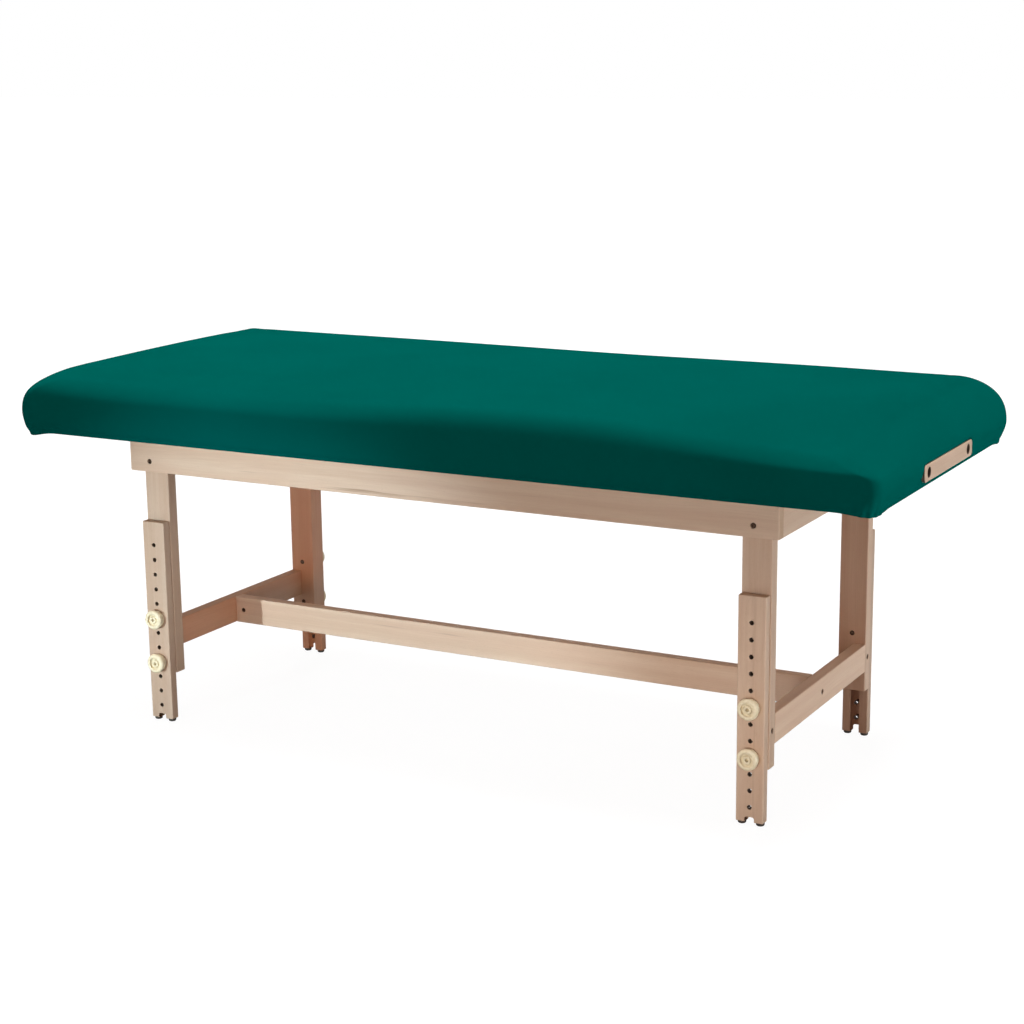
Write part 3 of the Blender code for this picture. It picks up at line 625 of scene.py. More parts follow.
def sliding_leg(width, thickness, length, finish, shade_finish):
    """One leg at its own origin: outer face at +Y, feet at z = 0."""
    blank = eased_box("leg blank", (-width / 2, 0, 0), (width / 2, thickness, length), LEG_EASE)
    slot = GROOVE_WIDTH / 2
    groove_low = (-slot, -GROOVE_PAST_FACE, -GROOVE_PAST_ENDS)
    groove_high = (slot, GROOVE_DEPTH, length + GROOVE_PAST_ENDS)
    groove = eased_box("groove", groove_low, groove_high, GROOVE_EASE)
    wide = slot + NOTCH_SPARE
    notch_low = (-wide, -NOTCH_PAST, -NOTCH_PAST)
    notch_high = (wide, thickness + NOTCH_PAST, NOTCH_HEIGHT)
    notch = eased_box("notch", notch_low, notch_high, NOTCH_ROUND, 6, along=1)
    models = [in_scene("leg cut", cut) for cut in (groove, notch)]
    mesh = grown(blank, DRILLED, {
        "Groove": models[0], "Notch": models[1],
        "Count": HOLE_COUNT, "First": (0, thickness, FIRST_HOLE), "Pitch": (0, 0, HOLE_PITCH),
        "Turn": (-math.pi / 2, 0, 0), "Diameter": HOLE_DIAMETER, "Ease": HOLE_EASE,
        "Depth": 3 * thickness, "Finish": finish,
    })
    for model in models:
        bpy.data.objects.remove(model)
    darkened(mesh, shade_finish, in_leg_hole)
    return crisp(mesh)


for seed, (name, (_, side)) in enumerate(CORNERS.items()):
    node = f"lower_leg_{name}"
    low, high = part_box(node)
    size = high - low
    finish = maple(f"maple {node}", low, high, "z", seed + LEG_SEED, LEG_TONES[name], LEG_STAIN)
    # A very dark tone of the same maple: painted shade on the walls of the holes.
    bored = maple(f"bored {node}", low, high, "z", seed + LEG_SEED, HOLE_SHADE_TONE, LEG_STAIN)
    mesh = sliding_leg(size.x, size.y, size.z, finish, bored)
    face = low.y if side > 0 else high.y
    turn = 0 if side > 0 else math.pi
    mesh.transform(Matrix.Translation(((low.x + high.x) / 2, face, low.z)) @ Matrix.Rotation(turn, 4, "Z"))
    fitted(f"sliding_leg_{name}", mesh, f"sliding_leg_{name}", "maple", node)


# Foot glides
# Two dark moulded glides are nailed under each sliding leg, one on either side of its notch.
# They have a rounded edge, and the nail's head is sunk in their flat underside.

GLIDE_RADIUS = 0.008
GLIDE_FLAT = 0.005
GLIDE_ROUND = 0.003
GLIDE_STEPS = 6
NAIL_HEAD = 0.0026
NAIL_RECESS = 0.003
NAIL_SINK = 0.0012
MOULDED = mottled("moulded plastic", 160, 3, (0.35, 0.68), 0.10, 1900)


def plastic(name, plain, clouded, roughness):
    return mottled_finish(name, MOULDED, (plain, clouded), roughness, 0.2, {"Specular IOR Level": 0.4})


def foot_glide(height):
    """Underside at z = 0."""
    full, flat = GLIDE_RADIUS, GLIDE_FLAT
    rings = [(0, NAIL_SINK), (NAIL_HEAD, NAIL_SINK), (NAIL_RECESS, 0)]
    for step in range(GLIDE_STEPS + 1):
        angle = math.pi / 2 * step / GLIDE_STEPS
        rings.append((flat + (full - flat) * math.sin(angle), (1 - math.cos(angle)) * GLIDE_ROUND))
    return turned("foot glide", [*rings, (full, height), (0, height)], BOLT_SIDES)


GLIDE_PLASTIC = plastic("glide plastic", (0.060, 0.050, 0.042), (0.085, 0.072, 0.060), 0.48)
for name in CORNERS:
    glides = [f"foot_glide_{name}_{index}" for index in (1, 2)]
    low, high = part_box(glides[0])
    places = [(end_of(node, Vector((0, 0, -1))), Vector((0, 0, 1))) for node in glides]
    mesh = set_out(foot_glide(high.z - low.z), places, GLIDE_PLASTIC)
    fitted(f"foot_glides_{name}", mesh, f"sliding_leg_{name}", "glide_plastic", *glides)


# Clamp knobs
# Eight round cream knobs, moulded with a rolled rim, a dished face and a raised boss round the bolt.
# They screw on to the carriage bolts and pinch the sliding legs against the fixed ones.

KNOB_RIM = 0.0205
KNOB_BASE = 0.0176
KNOB_BASE_ROUND = 0.001
KNOB_ROLL = 0.0050
KNOB_DISH = 0.0137
KNOB_DISH_DEPTH = 0.0050
KNOB_DISH_ROUND = 0.0030
KNOB_DISH_INSET = 0.0010
KNOB_BOSS = 0.0078
KNOB_BOSS_SINK = 0.0012
KNOB_BOSS_FOOT = 0.0016
KNOB_BOSS_ROUND = 0.0022
KNOB_BORE = 0.0034
KNOB_BORE_DEPTH = 0.0030
KNOB_BORE_ROUND = 0.0008
KNOB_SIDES = 72


def arc(centre, radius, start, stop, steps):
    """(radius, height) points along an arc, its angles in degrees from the outward direction."""
    points = []
    for step in range(steps + 1):
        angle = math.radians(start + (stop - start) * step / steps)
        points.append((centre[0] + radius * math.cos(angle), centre[1] + radius * math.sin(angle)))
    return points


def clamp_knob(height):
    """Its flat back at z = 0, its dished face up."""
    floor, boss = height - KNOB_DISH_DEPTH, height - KNOB_BOSS_SINK
    base, foot, shoulder, lip = KNOB_BASE_ROUND, KNOB_BOSS_FOOT, KNOB_BOSS_ROUND, KNOB_BORE_ROUND
    return turned("clamp knob", [
        (0, 0),
        *arc((KNOB_BASE - base, base), base, -90, -10, 4),
        *arc((KNOB_RIM - KNOB_ROLL, height - KNOB_ROLL), KNOB_ROLL, -8, 125, 14),
        *arc((KNOB_DISH - KNOB_DISH_INSET, floor + KNOB_DISH_ROUND), KNOB_DISH_ROUND, -25, -90, 6),
        *arc((KNOB_BOSS + foot, floor + foot), foot, -90, -170, 5),
        *arc((KNOB_BOSS - shoulder, boss - shoulder), shoulder, 5, 90, 7),
        *arc((KNOB_BORE + lip, boss - lip), lip, 90, 180, 4),
        (KNOB_BORE, height - KNOB_BORE_DEPTH),
        (0, height - KNOB_BORE_DEPTH),
    ], KNOB_SIDES, 45)


CREAM = plastic("cream plastic", (0.86, 0.76, 0.54), (0.78, 0.67, 0.44), 0.34)
BRASS = steel("brass plate", (0.55, 0.44, 0.25), (0.38, 0.29, 0.16), 0.40)
bolt_end_places = []
for name, (_, side) in CORNERS.items():
    outward = Vector((0, side, 0))
    for level in LEVELS:
        node = f"clamp_knob_{name}_{level}"
        low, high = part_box(node)
        mesh = set_out(clamp_knob(high.y - low.y), [(end_of(node, -outward), outward)], CREAM)
        fitted(f"knob_{name}_{level}", mesh, f"knob_{name}_{level}", "cream_plastic", node)
        bolt_end_places.append((end_of(node, outward) - outward * KNOB_BORE_DEPTH, outward))

THREAD_CREST = 0.0032
THREAD_ROOT = 0.0028
THREAD_PITCH = 0.0006
THREAD_START = (0.0029, 0.0001)
BOLT_TIP = (0.0022, 0.0015)
thread = [(0, THREAD_START[1]), THREAD_START]
for turn in range(2):
    climb = THREAD_PITCH * turn
    thread += [(THREAD_CREST, 0.0004 + climb), (THREAD_ROOT, 0.0007 + climb)]
bolt_end = turned("bolt end", [*thread, BOLT_TIP, (0, BOLT_TIP[1])], BOLT_SIDES)
fitted("bolt_ends", set_out(bolt_end, bolt_end_places, BRASS), "table_frame", "zinc_steel")


# Deck and its rails
# A plywood board under the foam, with maple rails glued round its upper edge; the head rail is deep.
# The board shows from below and the head rail's bores behind the outlet plate.

def plywood(name):
    """Rotary-cut face veneer with its grain along X."""
    pale, warm, dark = (0.68, 0.50, 0.32, 1), (0.56, 0.385, 0.225, 1), (0.36, 0.225, 0.12, 1)
    finish, tree, shader = new_finish(name)
    place = add_node(tree, "ShaderNodeTexCoord").outputs["Object"]
    flame = drawn_noise(tree, place, (1.3, 11, 11), 3)
    lines = maths(tree, "FRACT", maths(tree, "MULTIPLY", flame, 14.0))
    fibres = drawn_noise(tree, place, (22, 700, 700), 3)
    colour = tinted(tree, soft_step(tree, lines, 0.25, 1.0), pale, warm)
    colour = tinted(tree, maths(tree, "MULTIPLY", soft_step(tree, fibres, 0.5, 0.75), 0.35), colour, dark)
    roughness = maths(tree, "MULTIPLY_ADD", fibres, 0.2, 0.55)
    finish_off(tree, shader, colour, roughness, (fibres, 0.3, 0.0002), {"Specular IOR Level": 0.25})
    return finish


boards["deck_panel"].material_slots[0].material = plywood("deck plywood")
TOP_GRAIN = {"top_rail_front": "x", "top_rail_back": "x", "top_rail_foot": "y", "top_rail_head": "y"}
TOP_SEED = 41
RAIL_TONE = 0.9
# The head rail shows only through the plate's bores, so it is painted dark as the shade inside them.
HEAD_RAIL_SHADE_TONE = 0.4
for seed, (board, grain) in enumerate(TOP_GRAIN.items()):
    tone = HEAD_RAIL_SHADE_TONE if board == "top_rail_head" else RAIL_TONE
    finish = maple(f"maple {board}", *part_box(board), grain, seed + TOP_SEED, tone)
    boards[board].material_slots[0].material = finish


# Padded top
# Thick foam under one sheet of taut teal vinyl, drawn down over the rails and stapled under the deck.
# The edges roll, the sides pull in at the bottom, and the foam has sat down along the near edge.
# The corners are gathered in pleats that hang a little.

TOP_SHRINK = 0.002
END_SPARE = 0.0055
SIDE_SPARE = 0.003
SWELL_CAP = 0.004
END_DRAW_IN = 0.014
END_DRAW_CURVE = 1.5
END_FULL_HEIGHT = 0.040
END_ROLL = 0.084
SIDE_DRAW_IN = 0.011
SIDE_FULL_HEIGHT = 0.018
SIDE_ROLL = 0.034
SIDE_ROLL_HEIGHT = 0.044
CROWN = 0.003
CORNER = 0.022
CORNER_GROWTH = 0.45
HEM = 0.001
HEM_WIDTH = 0.045
HEM_RINGS = (0.099, 0.064, 0.039, 0.023, 0.011, 0.0045)
HEM_TURN = 0.0012
HEM_TURN_DROP = 0.0004
WALL_HEIGHTS = (0.0018, 0.0055, 0.009, 0.0135, 0.018, 0.0235, 0.029, 0.0345)
ARC_STEPS = 16
LONG_STEPS = 120
SHORT_STEPS = 52
ROLL_STEPS = 13
top_low, top_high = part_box("upholstered_top")
deck_low, deck_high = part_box("deck_panel")
HALF_LENGTH = (top_high.x - top_low.x) / 2
HALF_WIDTH = (top_high.y - top_low.y) / 2
RIM_HEIGHT = top_high.z - deck_low.z - CROWN - TOP_SHRINK
QUARTERS = ((1, 1), (-1, 1), (-1, -1), (1, -1))


def spaced(share):
    """Stations along a side, closer together towards its corners."""
    return 0.5 * share + 0.25 * (1 - math.cos(math.pi * share))


def smooth(share):
    share = np.clip(share, 0, 1)
    return share * share * (3 - 2 * share)


def ramp(values, start, run):
    """0 before the start and 1 past the run, with a soft step between."""
    return smooth((values - start) / run)


def plan_outline(at_end, at_side, height):
    """Points round the top's rounded plan, drawn in at the ends and along the sides."""
    radius = CORNER + CORNER_GROWTH * at_end
    half_x = HALF_LENGTH + END_SPARE - at_end - radius
    half_y = HALF_WIDTH + SIDE_SPARE - at_side - radius
    points = []
    starts = []
    for quarter, (sx, sy) in enumerate(QUARTERS):
        starts.append(len(points))
        for step in range(ARC_STEPS + 1):
            angle = math.pi / 2 * (quarter + step / ARC_STEPS)
            points.append(Vector((
                sx * half_x + radius * math.cos(angle), sy * half_y + radius * math.sin(angle), height,
            )))
        begin = points[-1]
        next_x, next_y = QUARTERS[(quarter + 1) % 4]
        angle = math.pi / 2 * (quarter + 1)
        stop = Vector((
            next_x * half_x + radius * math.cos(angle), next_y * half_y + radius * math.sin(angle), height,
        ))
        steps = SHORT_STEPS if quarter % 2 else LONG_STEPS
        points += [begin.lerp(stop, spaced(step / steps)) for step in range(1, steps)]
    return points, starts


def end_inset(height):
    """How far the ends are drawn in at a height over the deck's underside."""
    if height < END_FULL_HEIGHT:
        return END_DRAW_IN * (1 - height / END_FULL_HEIGHT) ** END_DRAW_CURVE
    climb = (height - END_FULL_HEIGHT) / (RIM_HEIGHT - END_FULL_HEIGHT)
    return END_ROLL * (1 - math.sqrt(max(0, 1 - climb ** 2)))


def side_inset(height):
    """The same along the sides, whose roll is tighter."""
    if height < SIDE_FULL_HEIGHT:
        return SIDE_DRAW_IN * (1 - height / SIDE_FULL_HEIGHT) ** 2
    climb = max(0, 1 - (RIM_HEIGHT - height) / SIDE_ROLL_HEIGHT)
    return SIDE_ROLL * (1 - math.sqrt(max(0, 1 - climb ** 2)))


def edge_profile():
    """Insets at the ends and sides, with heights, from under the hem up and over the rolled edge."""
    profile = []
    for turned_in in HEM_RINGS:
        profile.append((END_DRAW_IN + turned_in, SIDE_DRAW_IN + turned_in, deck_low.z - HEM))
    profile.append((END_DRAW_IN + HEM_TURN, SIDE_DRAW_IN + HEM_TURN, deck_low.z - HEM_TURN_DROP))
    heights = list(WALL_HEIGHTS)
    for step in range(ROLL_STEPS + 1):
        climb = math.sin(math.pi / 2 * step / ROLL_STEPS)
        heights.append(END_FULL_HEIGHT + (RIM_HEIGHT - END_FULL_HEIGHT) * climb)
    profile += [(end_inset(height), side_inset(height), deck_low.z + height) for height in heights]
    return profile


def walk(rim, begin, steps, way):
    """The points of a rim from one of them on, forwards or backwards."""
    return [rim[(begin + way * step) % len(rim)] for step in range(steps + 1)]


def patch(bm, rim, starts, crown):
    """Fills a rim with an even net of faces, crowned towards the middle."""
    mids = [start + ARC_STEPS // 2 for start in starts]
    wide, deep = ARC_STEPS + LONG_STEPS, ARC_STEPS + SHORT_STEPS
    front, back = walk(rim, mids[2], wide, 1), walk(rim, mids[1], wide, -1)
    foot, head = walk(rim, mids[2], deep, -1), walk(rim, mids[3], deep, 1)
    reach_x = max(vert.co.x for vert in rim)
    reach_y = max(vert.co.y for vert in rim)
    net = [front]
    for row in range(1, deep):
        v = row / deep
        line = [foot[row]]
        for column in range(1, wide):
            u = column / wide
            point = front[column].co * (1 - v) + back[column].co * v
            point += foot[row].co * (1 - u) + head[row].co * u
            point -= (front[0].co * (1 - u) + front[-1].co * u) * (1 - v)
            point -= (back[0].co * (1 - u) + back[-1].co * u) * v
            across, length = point.y / reach_y, point.x / reach_x
            point.z += crown * (1 - across ** 2) * (1 - length ** 8)
            line.append(bm.verts.new(point))
        line.append(head[row])
        net.append(line)
    net.append(back)
    for lower, upper in zip(net, net[1:]):
        for column in range(wide):
            bm.faces.new((lower[column], lower[column + 1], upper[column + 1], upper[column]))


def cushion_form():
    """The closed form of the top, a little small, as an even net of faces."""
    bm = bmesh.new()
    rings = []
    for at_end, at_side, height in edge_profile():
        points, starts = plan_outline(at_end, at_side, height)
        rings.append([bm.verts.new(point) for point in points])
    for lower, upper in zip(rings, rings[1:]):
        for step in range(len(lower)):
            after = (step + 1) % len(lower)
            bm.faces.new((lower[step], lower[after], upper[after], upper[step]))
    patch(bm, rings[0], starts, 0)
    patch(bm, rings[-1], starts, CROWN)
    bmesh.ops.recalc_face_normals(bm, faces=bm.faces)
    return as_mesh("cushion form", bm)


def points_of(mesh):
    flat = np.empty(len(mesh.vertices) * 3)
    mesh.vertices.foreach_get("co", flat)
    return flat.reshape(-1, 3)


def set_points(mesh, points):
    mesh.vertices.foreach_set("co", points.ravel())
    mesh.update()


VINYL_CLOTH = {
    "quality": 5, "mass": 0.3, "tension_stiffness": 30, "compression_stiffness": 30, "shear_stiffness": 12,
    "bending_stiffness": 4, "use_pressure": True, "uniform_pressure_force": 4,
}
SWELL_FRAMES = 20
STAPLED_HEIGHT = 0.004


def swelled(mesh):
    """Blows the vinyl up over the foam, held at the lower edge, and limits how far each point may move."""
    rest = points_of(mesh)
    item = in_scene("swelling", mesh.copy())
    held = item.vertex_groups.new(name="stapled edge")
    stapled = np.flatnonzero(rest[:, 2] < deck_low.z + STAPLED_HEIGHT)
    held.add([int(index) for index in stapled], 1.0, "REPLACE")
    cloth = item.modifiers.new("vinyl", "CLOTH")
    for setting, value in VINYL_CLOTH.items():
        setattr(cloth.settings, setting, value)
    cloth.settings.vertex_group_mass = held.name
    cloth.settings.effector_weights.gravity = 0
    cloth.point_cache.frame_start = 1
    cloth.point_cache.frame_end = SWELL_FRAMES
    scene = bpy.context.scene
    for step in range(1, SWELL_FRAMES + 1):
        scene.frame_set(step)
    graph = bpy.context.evaluated_depsgraph_get()
    moved = points_of(item.evaluated_get(graph).data)
    bpy.data.objects.remove(item)
    scene.frame_set(1)
    offset = moved - rest
    reach = np.linalg.norm(offset, axis=1, keepdims=True)
    offset *= np.minimum(1, SWELL_CAP / np.maximum(reach, 1e-9))
    set_points(mesh, rest + offset)


PLEATS = ((-0.034, 0.0016), (-0.017, 0.0026), (-0.003, 0.0034), (0.012, 0.0028), (0.028, 0.0018))
PLEAT_WIDTH = 0.0042
PLEAT_FAN = 0.45
GATHER_HEIGHT = 0.070
GATHER_CURVE = 1.5
GATHER_RUN = 0.16
GATHER_UNDER = 0.022
HANG_RUN = 0.075
HANG_CURVE = 1.3
CORNER_HANG = {(-1, -1): 0.0095, (1, -1): 0.0055, (-1, 1): 0.0075, (1, 1): 0.0065}


def gather_corners(points):
    """Pleats fan down to each lower corner, which hangs a little below the deck."""
    radius = CORNER + CORNER_GROWTH * END_DRAW_IN
    reach_x, reach_y = HALF_LENGTH + END_SPARE - END_DRAW_IN, HALF_WIDTH + SIDE_SPARE - SIDE_DRAW_IN
    centre = np.array((reach_x, reach_y)) - radius
    height = points[:, 2] - deck_low.z
    low = np.clip(1 - height / GATHER_HEIGHT, 0, 1) ** GATHER_CURVE
    for (sx, sy), hang in CORNER_HANG.items():
        off = points[:, :2] * (sx, sy) - centre
        round_it = np.maximum(off, 0)
        distance = np.linalg.norm(round_it, axis=1)
        angle = np.arctan2(round_it[:, 1], round_it[:, 0] + 1e-9)
        along = radius * (angle - math.pi / 4)
        along = np.where(off[:, 0] < 0, radius * math.pi / 4 - off[:, 0], along)
        along = np.where(off[:, 1] < 0, off[:, 1] - radius * math.pi / 4, along)
        inside = np.maximum(radius - distance, 0) * (height < HEM)
        near = (off.max(axis=1) > 0) * (off.min(axis=1) > -GATHER_RUN) * low
        near = near * smooth(1 - inside / GATHER_UNDER)
        fold = np.zeros(len(points))
        for place, depth in PLEATS:
            line = place * (PLEAT_FAN + (1 - PLEAT_FAN) * low)
            fold += depth * np.exp(-((along - line) / PLEAT_WIDTH) ** 2)
        outward = round_it / np.maximum(distance, 1e-6)[:, None]
        points[:, :2] -= outward * (fold * near)[:, None] * (sx, sy)
        points[:, 2] -= hang * near * smooth(1 - np.abs(along) / HANG_RUN) ** HANG_CURVE


END_CROWN = 0.0045
END_CROWN_RAMP = (0.55, 0.35)
END_CROWN_INSET = 0.02
LIFT_RAMP = (0.05, 0.07)
SAT_HEAD = 0.033
SAT_HEAD_ALONG = (0.32, 0.56)
SAT_HEAD_ACROSS = (0.07, 0.30)
SAT_FOOT = 0.016
SAT_FOOT_ALONG = (-0.22, 0.50)
SAT_FOOT_END = (-1.05, 0.35)
SAT_FOOT_ACROSS = (0.28, 0.10)
WAVE = 0.0016
WAVE_RAMP = (0.01, 0.05)
WAVE_SIDE = 0.3


def foam_lie(points):
    """The lie of used foam: higher across each end, sat down along the near edge, never quite straight."""
    x, y, height = points[:, 0].copy(), points[:, 1].copy(), points[:, 2] - deck_low.z
    lift = ramp(height, *LIFT_RAMP)
    across = np.clip(1 - (y / (HALF_WIDTH - END_CROWN_INSET)) ** 2, 0, 1)
    points[:, 2] += END_CROWN * across * ramp(np.abs(x), *END_CROWN_RAMP) * lift
    sat_down = SAT_HEAD * ramp(x, *SAT_HEAD_ALONG) * ramp(-y, *SAT_HEAD_ACROSS)
    foot_half = ramp(-x, *SAT_FOOT_ALONG) * ramp(x, *SAT_FOOT_END)
    sat_down += SAT_FOOT * foot_half * ramp(-y, *SAT_FOOT_ACROSS)
    points[:, 2] -= sat_down * lift
    free = ramp(points[:, 2] - deck_low.z, *WAVE_RAMP)
    for index in np.flatnonzero(free > 0):
        px, py, pz = points[index]
        wave = WAVE * free[index] * noise.noise(Vector((2.1 * px + 3.3, 2.4 * py, 3.0 * pz)))
        points[index, 1] += wave * math.copysign(1, py) * min(1, abs(py) / WAVE_SIDE)
        points[index, 2] += wave


plate_low, plate_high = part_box("cradle_outlet_plate")
PLATE_CORNER = 0.009
PLATE_GAP = 0.0020
TUCK = 0.0028
TUCK_REACH = 0.011
TUCK_RAMP = (0.003, 0.009)
TUCK_DEPTH = 0.05


def tuck_in_plate(points):
    """The outlet plate presses the vinyl in all round it."""
    middle = (plate_low + plate_high) / 2
    half = (plate_high - plate_low) / 2
    off_y = np.abs(points[:, 1] - middle.y) - half.y + PLATE_CORNER
    off_z = np.abs(points[:, 2] - middle.z) - half.z + PLATE_CORNER
    beyond = np.hypot(np.maximum(off_y, 0), np.maximum(off_z, 0)) - PLATE_CORNER
    press = np.exp(-(np.maximum(beyond, 0) / TUCK_REACH) ** 2) * ramp(points[:, 2] - deck_low.z, *TUCK_RAMP)
    points[:, 0] -= TUCK * press * (points[:, 0] > HALF_LENGTH - TUCK_DEPTH)


def subdivided(mesh):
    item = in_scene("smoothing", mesh)
    step = item.modifiers.new("smooth", "SUBSURF")
    step.levels = 1
    step.render_levels = 1
    return plain_mesh(item)


def slab(name, outline, low, high):
    """A flat-sided block between two heights, from points round its plan."""
    bm = bmesh.new()
    floor = bm.faces.new([bm.verts.new((x, y, low)) for x, y in outline])
    raised = bmesh.ops.extrude_face_region(bm, geom=[floor])
    verts = [item for item in raised["geom"] if isinstance(item, bmesh.types.BMVert)]
    bmesh.ops.translate(bm, vec=(0, 0, high - low), verts=verts)
    bmesh.ops.recalc_face_normals(bm, faces=bm.faces)
    return as_mesh(name, bm)


HEM_CUT = (-0.03, 0.002)
HEM_STEPS = 60
HEM_STRAY = 0.003
HEM_STRAYS_PER_METRE = 9
HEM_NOISE_LEVELS = (0.4, 7.7)


def hem_window():
    """The opening inside the turned-under hem, its cut edge a little uneven."""
    half_x = HALF_LENGTH - END_DRAW_IN - HEM_WIDTH
    half_y = HALF_WIDTH - SIDE_DRAW_IN - HEM_WIDTH
    corners = [Vector((sx * half_x, sy * half_y, 0)) for sx, sy in QUARTERS]
    outline = []
    for begin, stop in zip(corners, corners[1:] + corners[:1]):
        for step in range(HEM_STEPS):
            point = begin.lerp(stop, step / HEM_STEPS)
            place = point * HEM_STRAYS_PER_METRE
            stray = [HEM_STRAY * noise.noise(Vector((*place.xy, level))) for level in HEM_NOISE_LEVELS]
            outline.append((point.x + stray[0], point.y + stray[1]))
    return slab("hem window", outline, *(deck_low.z + height for height in HEM_CUT))


def rod_along_x(name, radius, start, stop):
    mesh = turned(name, [(0, 0), (radius, 0), (radius, stop - start.x), (0, stop - start.x)], 48)
    mesh.transform(Matrix.Translation(start) @ Matrix.Rotation(math.pi / 2, 4, "Y"))
    return mesh


SOCKET_RADIUS = 0.010
SOCKET_Y = 0.118
ROOM = 0.0003
ROOM_UNDER = 0.0001
DECK_CORNER = 0.030
RAIL_EASE = 0.0002
SEAT_BEYOND = 0.03
BORE_BEHIND = 0.03
BORE_BEYOND = 0.02


def top_cuts():
    """What the closed form gives way to: deck, rails, outlet plate, its bores and the open underside."""
    room = Vector((ROOM, ROOM, ROOM))
    cuts = [hem_window()]
    pocket_low = deck_low - Vector((ROOM, ROOM, ROOM_UNDER))
    cuts.append(eased_box("deck pocket", pocket_low, deck_high + room * 2, DECK_CORNER, 8, along=2))
    for board in TOP_GRAIN:
        low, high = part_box(board)
        cuts.append(eased_box("rail pocket", low - room * 2, high + room, RAIL_EASE, 1))
    seat_low = plate_low - Vector((ROOM, PLATE_GAP, PLATE_GAP))
    seat_high = plate_high + Vector((SEAT_BEYOND, PLATE_GAP, PLATE_GAP))
    cuts.append(eased_box("plate seat", seat_low, seat_high, PLATE_CORNER, 8, along=0))
    socket_z = (plate_low.z + plate_high.z) / 2
    for side in (-1, 1):
        start = Vector((HALF_LENGTH - BORE_BEHIND, side * SOCKET_Y, socket_z))
        cuts.append(rod_along_x("bore", SOCKET_RADIUS + ROOM, start, HALF_LENGTH + BORE_BEYOND))
    return cuts


def cut_from(mesh, cutters, solver):
    item = in_scene("cutting", mesh)
    models = [in_scene("cutter", cutter) for cutter in cutters]
    for model in models:
        step = item.modifiers.new("cut", "BOOLEAN")
        step.operation = "DIFFERENCE"
        step.solver = solver
        step.object = model
    mesh = plain_mesh(item)
    for model in models:
        bpy.data.objects.remove(model)
    return mesh


def teal_vinyl(name):
    """Smooth upholstery vinyl with a fine pebbled emboss, and painted shade in its creases."""
    fresh, worn, crease = (0, 0.089, 0.0755, 1), (0, 0.081, 0.0685, 1), (0, 0.057, 0.048, 1)
    finish, tree, shader = new_finish(name)
    place = add_node(tree, "ShaderNodeTexCoord").outputs["Object"]
    slow = drawn_noise(tree, place, (2.6, 2.6, 2.6), 3)
    emboss = {"Vector": place, "Scale": 850.0}
    pebbles = add_node(tree, "ShaderNodeTexVoronoi", emboss, feature="DISTANCE_TO_EDGE").outputs[0]
    creases = soft_step(tree, pebbles, 0.0, 0.22)
    skin = drawn_noise(tree, place, (420, 420, 420), 3)
    colour = tinted(tree, soft_step(tree, slow, 0.32, 0.70), fresh, worn)
    # The emboss darkens down into its creases: painted shade in the hollows of the grain.
    shaded = maths(tree, "MULTIPLY", maths(tree, "SUBTRACT", 1.0, creases), 0.25)
    colour = tinted(tree, shaded, colour, crease)
    roughness = maths(tree, "MULTIPLY_ADD", skin, 0.12, 0.46)
    height = maths(tree, "MULTIPLY_ADD", skin, 0.4, creases)
    finish_off(tree, shader, colour, roughness, (height, 0.22, 0.0002), {"Specular IOR Level": 0.0})
    return finish


form = cushion_form()
swelled(form)
form = subdivided(form)
worked = points_of(form)
foam_lie(worked)
gather_corners(worked)
tuck_in_plate(worked)
set_points(form, worked)
form = cut_from(form, top_cuts(), "MANIFOLD")
form.materials.clear()
form.materials.append(teal_vinyl("teal vinyl"))
shade(form, 50)
cushion = fitted("padded_top", form, "table_frame", "teal_vinyl", "upholstered_top")


# Staples
# Zinc-plated wire staples, shot by hand and so never quite in line.
# One every 45 mm or so holds the vinyl's turned-under hem to the deck.

STAPLE_PITCH = 0.045
STAPLE_INSET = 0.030
STAPLE_SIZE = (0.0105, 0.0011, 0.0006)
STAPLE_EASE = 0.00025
STAPLE_STRAY = 0.0025
STAPLE_LEAN = 0.3
STAPLE_PROUD = 0.0002


def staple_tree():
    """Staples set out along a rectangle, each a little off its line."""
    tree, given, result = node_group(
        "staple row", "GeometryNodeTree",
        {"Geometry": "Geometry", "Pattern": "Object", "Length": "Float", "Width": "Float", "Height": "Float",
         "Pitch": "Float", "Seed": "Int", "Finish": "Material"},
        {"Geometry": "Geometry"},
    )
    path = add_node(tree, "GeometryNodeCurvePrimitiveQuadrilateral", {
        "Width": given["Length"], "Height": given["Width"],
    }).outputs[0]
    spacing = {"Curve": path, "Length": given["Pitch"]}
    row = add_node(tree, "GeometryNodeCurveToPoints", spacing, mode="LENGTH")
    stray = add_node(tree, "FunctionNodeRandomValue", {
        0: (-STAPLE_STRAY, -STAPLE_STRAY, 0), 1: (STAPLE_STRAY, STAPLE_STRAY, 0), "Seed": given["Seed"],
    }, data_type="FLOAT_VECTOR").outputs[0]
    level = add_node(tree, "ShaderNodeCombineXYZ", {2: given["Height"]}).outputs[0]
    offset = vectors(tree, "ADD", stray, level)[0]
    moved = add_node(tree, "GeometryNodeSetPosition", {"Geometry": row.outputs["Points"], "Offset": offset})
    run = {"Vector": row.outputs["Tangent"]}
    tangent = add_node(tree, "FunctionNodeAlignRotationToVector", run, axis="X")
    lean = add_node(tree, "FunctionNodeRandomValue", {
        0: (0, 0, -STAPLE_LEAN), 1: (0, 0, STAPLE_LEAN), "Seed": given["Seed"],
    }, data_type="FLOAT_VECTOR").outputs[0]
    turn = add_node(tree, "FunctionNodeRotateRotation", {0: tangent.outputs[0], 1: lean})
    pattern = add_node(tree, "GeometryNodeObjectInfo", {"Object": given["Pattern"]}).outputs["Geometry"]
    copies = add_node(tree, "GeometryNodeInstanceOnPoints", {
        "Points": moved.outputs[0], "Instance": pattern, "Rotation": turn.outputs[0],
    })
    return close_tree(tree, copies.outputs[0], given["Finish"], result)


